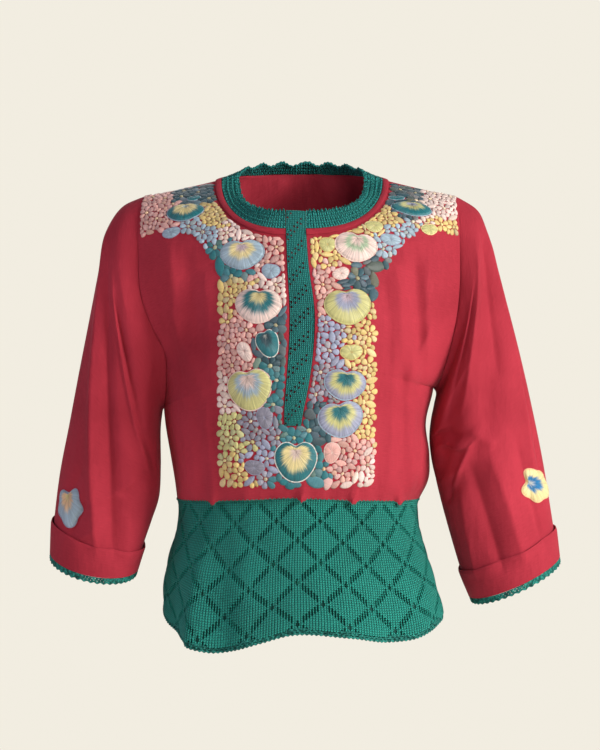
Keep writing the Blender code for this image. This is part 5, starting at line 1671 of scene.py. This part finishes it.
def make_peplum(knit, crochet):
    """The front and the back of the peplum, with the edging below each."""
    peplums, edgings = {}, {}
    for name, first, last in (("front", -90, 90), ("back", 90, 270)):
        points, keep, uv, web = peplum_grid(first, last)
        normals = normals_of(points, np.array([0, 0, -0.46]))
        for column in (0, -1):
            normals[:, column] = unit(normals[:, column] * [1, 0, 1])
        outer = points + normals * puffed(uv)[..., None]
        outer[0] = points[0] - normals[0] * SEAM_SINK
        inner = points - normals * KNIT
        peplums[name] = wall(f"knit_peplum_{name}", outer, inner, knit, keep, uv=uv, web=web)
        length = length_along(points[-1])
        even = np.linspace(0, length[-1], int(length[-1] / HEM_STEP) + 1)
        line, up = (resampled(even, length, v[-1]) for v in (points, normals))
        scallop = 1 + 0.10 * np.sin(even / HEM_SCALLOP * 2 * np.pi)
        reach = np.linspace(0, 1, EDGING_ROWS + 1)[:, None] * HEM_EDGING * 0.95 * scallop[None]
        edge = line[None] + reach[..., None] * np.array([0, 0, -1.0]) + [0, 0, HEM_OVERLAP]
        up = np.broadcast_to(unit(up), edge.shape)
        edge = rippled(edge, up, EDGING_ROWS, len(even) // 2, EDGING_LUMP) - up * (KNIT - CROCHET) / 2
        holes = pierced(EDGING_ROWS, len(even) - 1, (1, 3), 5, 3)
        edgings[name] = wall(f"crochet_hem_{name}", edge, edge - up * CROCHET, crochet, holes, web=~holes)
    return peplums, edgings


def make_lights():
    """Soft lamps, each turned to the point of the blouse that it is meant for."""
    for row in LAMPS:
        data = bpy.data.lights.new(row.name, "AREA")
        data.shape = "RECTANGLE"
        data.size, data.size_y = row.size
        data.energy = row.watts
        data.color = row.colour
        made = bpy.data.objects.new(row.name, data)
        made.location = row.place
        made.rotation_euler = (Vector(row.target) - Vector(row.place)).to_track_quat("-Z", "Y").to_euler()
        bpy.context.scene.collection.objects.link(made)


def make_room():
    """A plain cream room: soft light from the viewer's right, weaker and cooler from the left."""
    scene = bpy.context.scene
    scene.view_settings.view_transform = "Standard"
    world = bpy.data.worlds.new("Room")
    scene.world = world
    world.use_nodes = True
    tree = world.node_tree
    seen = node(tree, "ShaderNodeLightPath").outputs["Is Camera Ray"]
    links = [(0, seen), (6, ROOM_LIGHT), (7, (*CREAM, 1))]
    colour = node(tree, "ShaderNodeMix", links, data_type="RGBA").outputs[2]
    tree.links.new(colour, tree.nodes["Background"].inputs["Color"])
    make_lights()
    camera = bpy.data.objects.new("camera", bpy.data.cameras.new("camera"))
    camera.location = (-0.0025, -2.1, -0.24)
    camera.rotation_euler = (math.radians(90), 0, 0)
    camera.data.lens = 80.64
    camera.data.sensor_width = 36
    camera.data.clip_end = 20
    scene.collection.objects.link(camera)
    scene.camera = camera
    mesh = bpy.data.meshes.new("floor")
    corners = [(x * FLOOR_HALF, y * FLOOR_HALF, FLOOR_Z) for x, y in ((-1, -1), (1, -1), (1, 1), (-1, 1))]
    mesh.from_pydata(corners, [], [(0, 1, 2, 3)])
    paper, tree, shader = material_of("paper", 1.0)
    shader.inputs["Base Color"].default_value = (*CREAM, 1)
    seen = node(tree, "ShaderNodeLightPath").outputs["Is Camera Ray"]
    glow = node(tree, "ShaderNodeEmission", [("Color", (*CREAM, 1))]).outputs[0]
    shown = node(tree, "ShaderNodeMixShader", [(0, seen), (1, shader.outputs[0]), (2, glow)]).outputs[0]
    tree.links.new(shown, tree.nodes["Material Output"].inputs["Surface"])
    mesh.materials.append(paper)
    floor = bpy.data.objects.new("floor", mesh)
    scene.collection.objects.link(floor)


def put(piece, slot, *nodes):
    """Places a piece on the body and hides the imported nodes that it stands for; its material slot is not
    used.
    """
    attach(piece, "root")
    if nodes:
        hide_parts(*nodes)


def main():
    """Builds every piece, puts it on the body and lights the room."""
    cotton = cotton_material("red_cotton", (0.300, 0.012, 0.026), (0.520, 0.034, 0.060))
    knit = knit_material("green_knit", (0.003, 0.060, 0.050), (0.022, 0.390, 0.310))
    crochet = crochet_material("green_crochet", (0.004, 0.060, 0.052), (0.034, 0.370, 0.300))
    rows = knit_material("green_rows", (0.004, 0.045, 0.046), (0.024, 0.330, 0.300))
    satin = satin_material("satin_thread")
    grids, panels = make_panels(cotton)
    sleeves, sleeve_pieces = make_sleeves(cotton)
    cuffs, cuff_edgings = make_cuffs(sleeves, cotton, crochet)
    neckband = make_neckband(rows)
    overlock = make_overlock(grids, crochet)
    grounds = {name: Ground(*grid) for name, grid in grids.items()}
    binding = make_binding(grounds, cotton)
    placket = make_placket(rows)
    peplums, hem_edgings = make_peplum(knit, crochet)
    whole = np.ones((SLEEVE_ROWS, SLEEVE_AROUND), bool)
    sleeve_grounds = {
        name: (rings, Ground(rings, normals, whole)) for name, (rings, normals) in sleeves.items()
    }
    flowers, buds = make_flowers(grounds["front"], sleeve_grounds, satin)
    small = padded("stitched_motifs", make_motifs(grounds["front"], grids["front"]), satin)
    for name in ("front", "back"):
        put(panels[name], "red_cotton", name)
        put(peplums[name], "green_knit", f"peplum_{name}")
        put(hem_edgings[name], "green_crochet", f"hem_edging_{name}")
    for side in SIDES:
        put(sleeve_pieces[side.name], "red_cotton", f"sleeve_{side.name}")
        put(cuffs[side.name], "red_cotton", f"cuff_{side.name}")
        put(cuff_edgings[side.name], "green_crochet", f"cuff_edging_{side.name}")
    put(neckband, "green_crochet", "neckband")
    put(binding, "red_cotton", "neck_binding")
    put(placket, "green_crochet", "placket")
    for piece, name in flowers:
        put(piece, "satin_thread", name)
    put(buds, "satin_thread")
    put(overlock, "green_crochet")
    put(small, "satin_thread")
    make_room()


main()
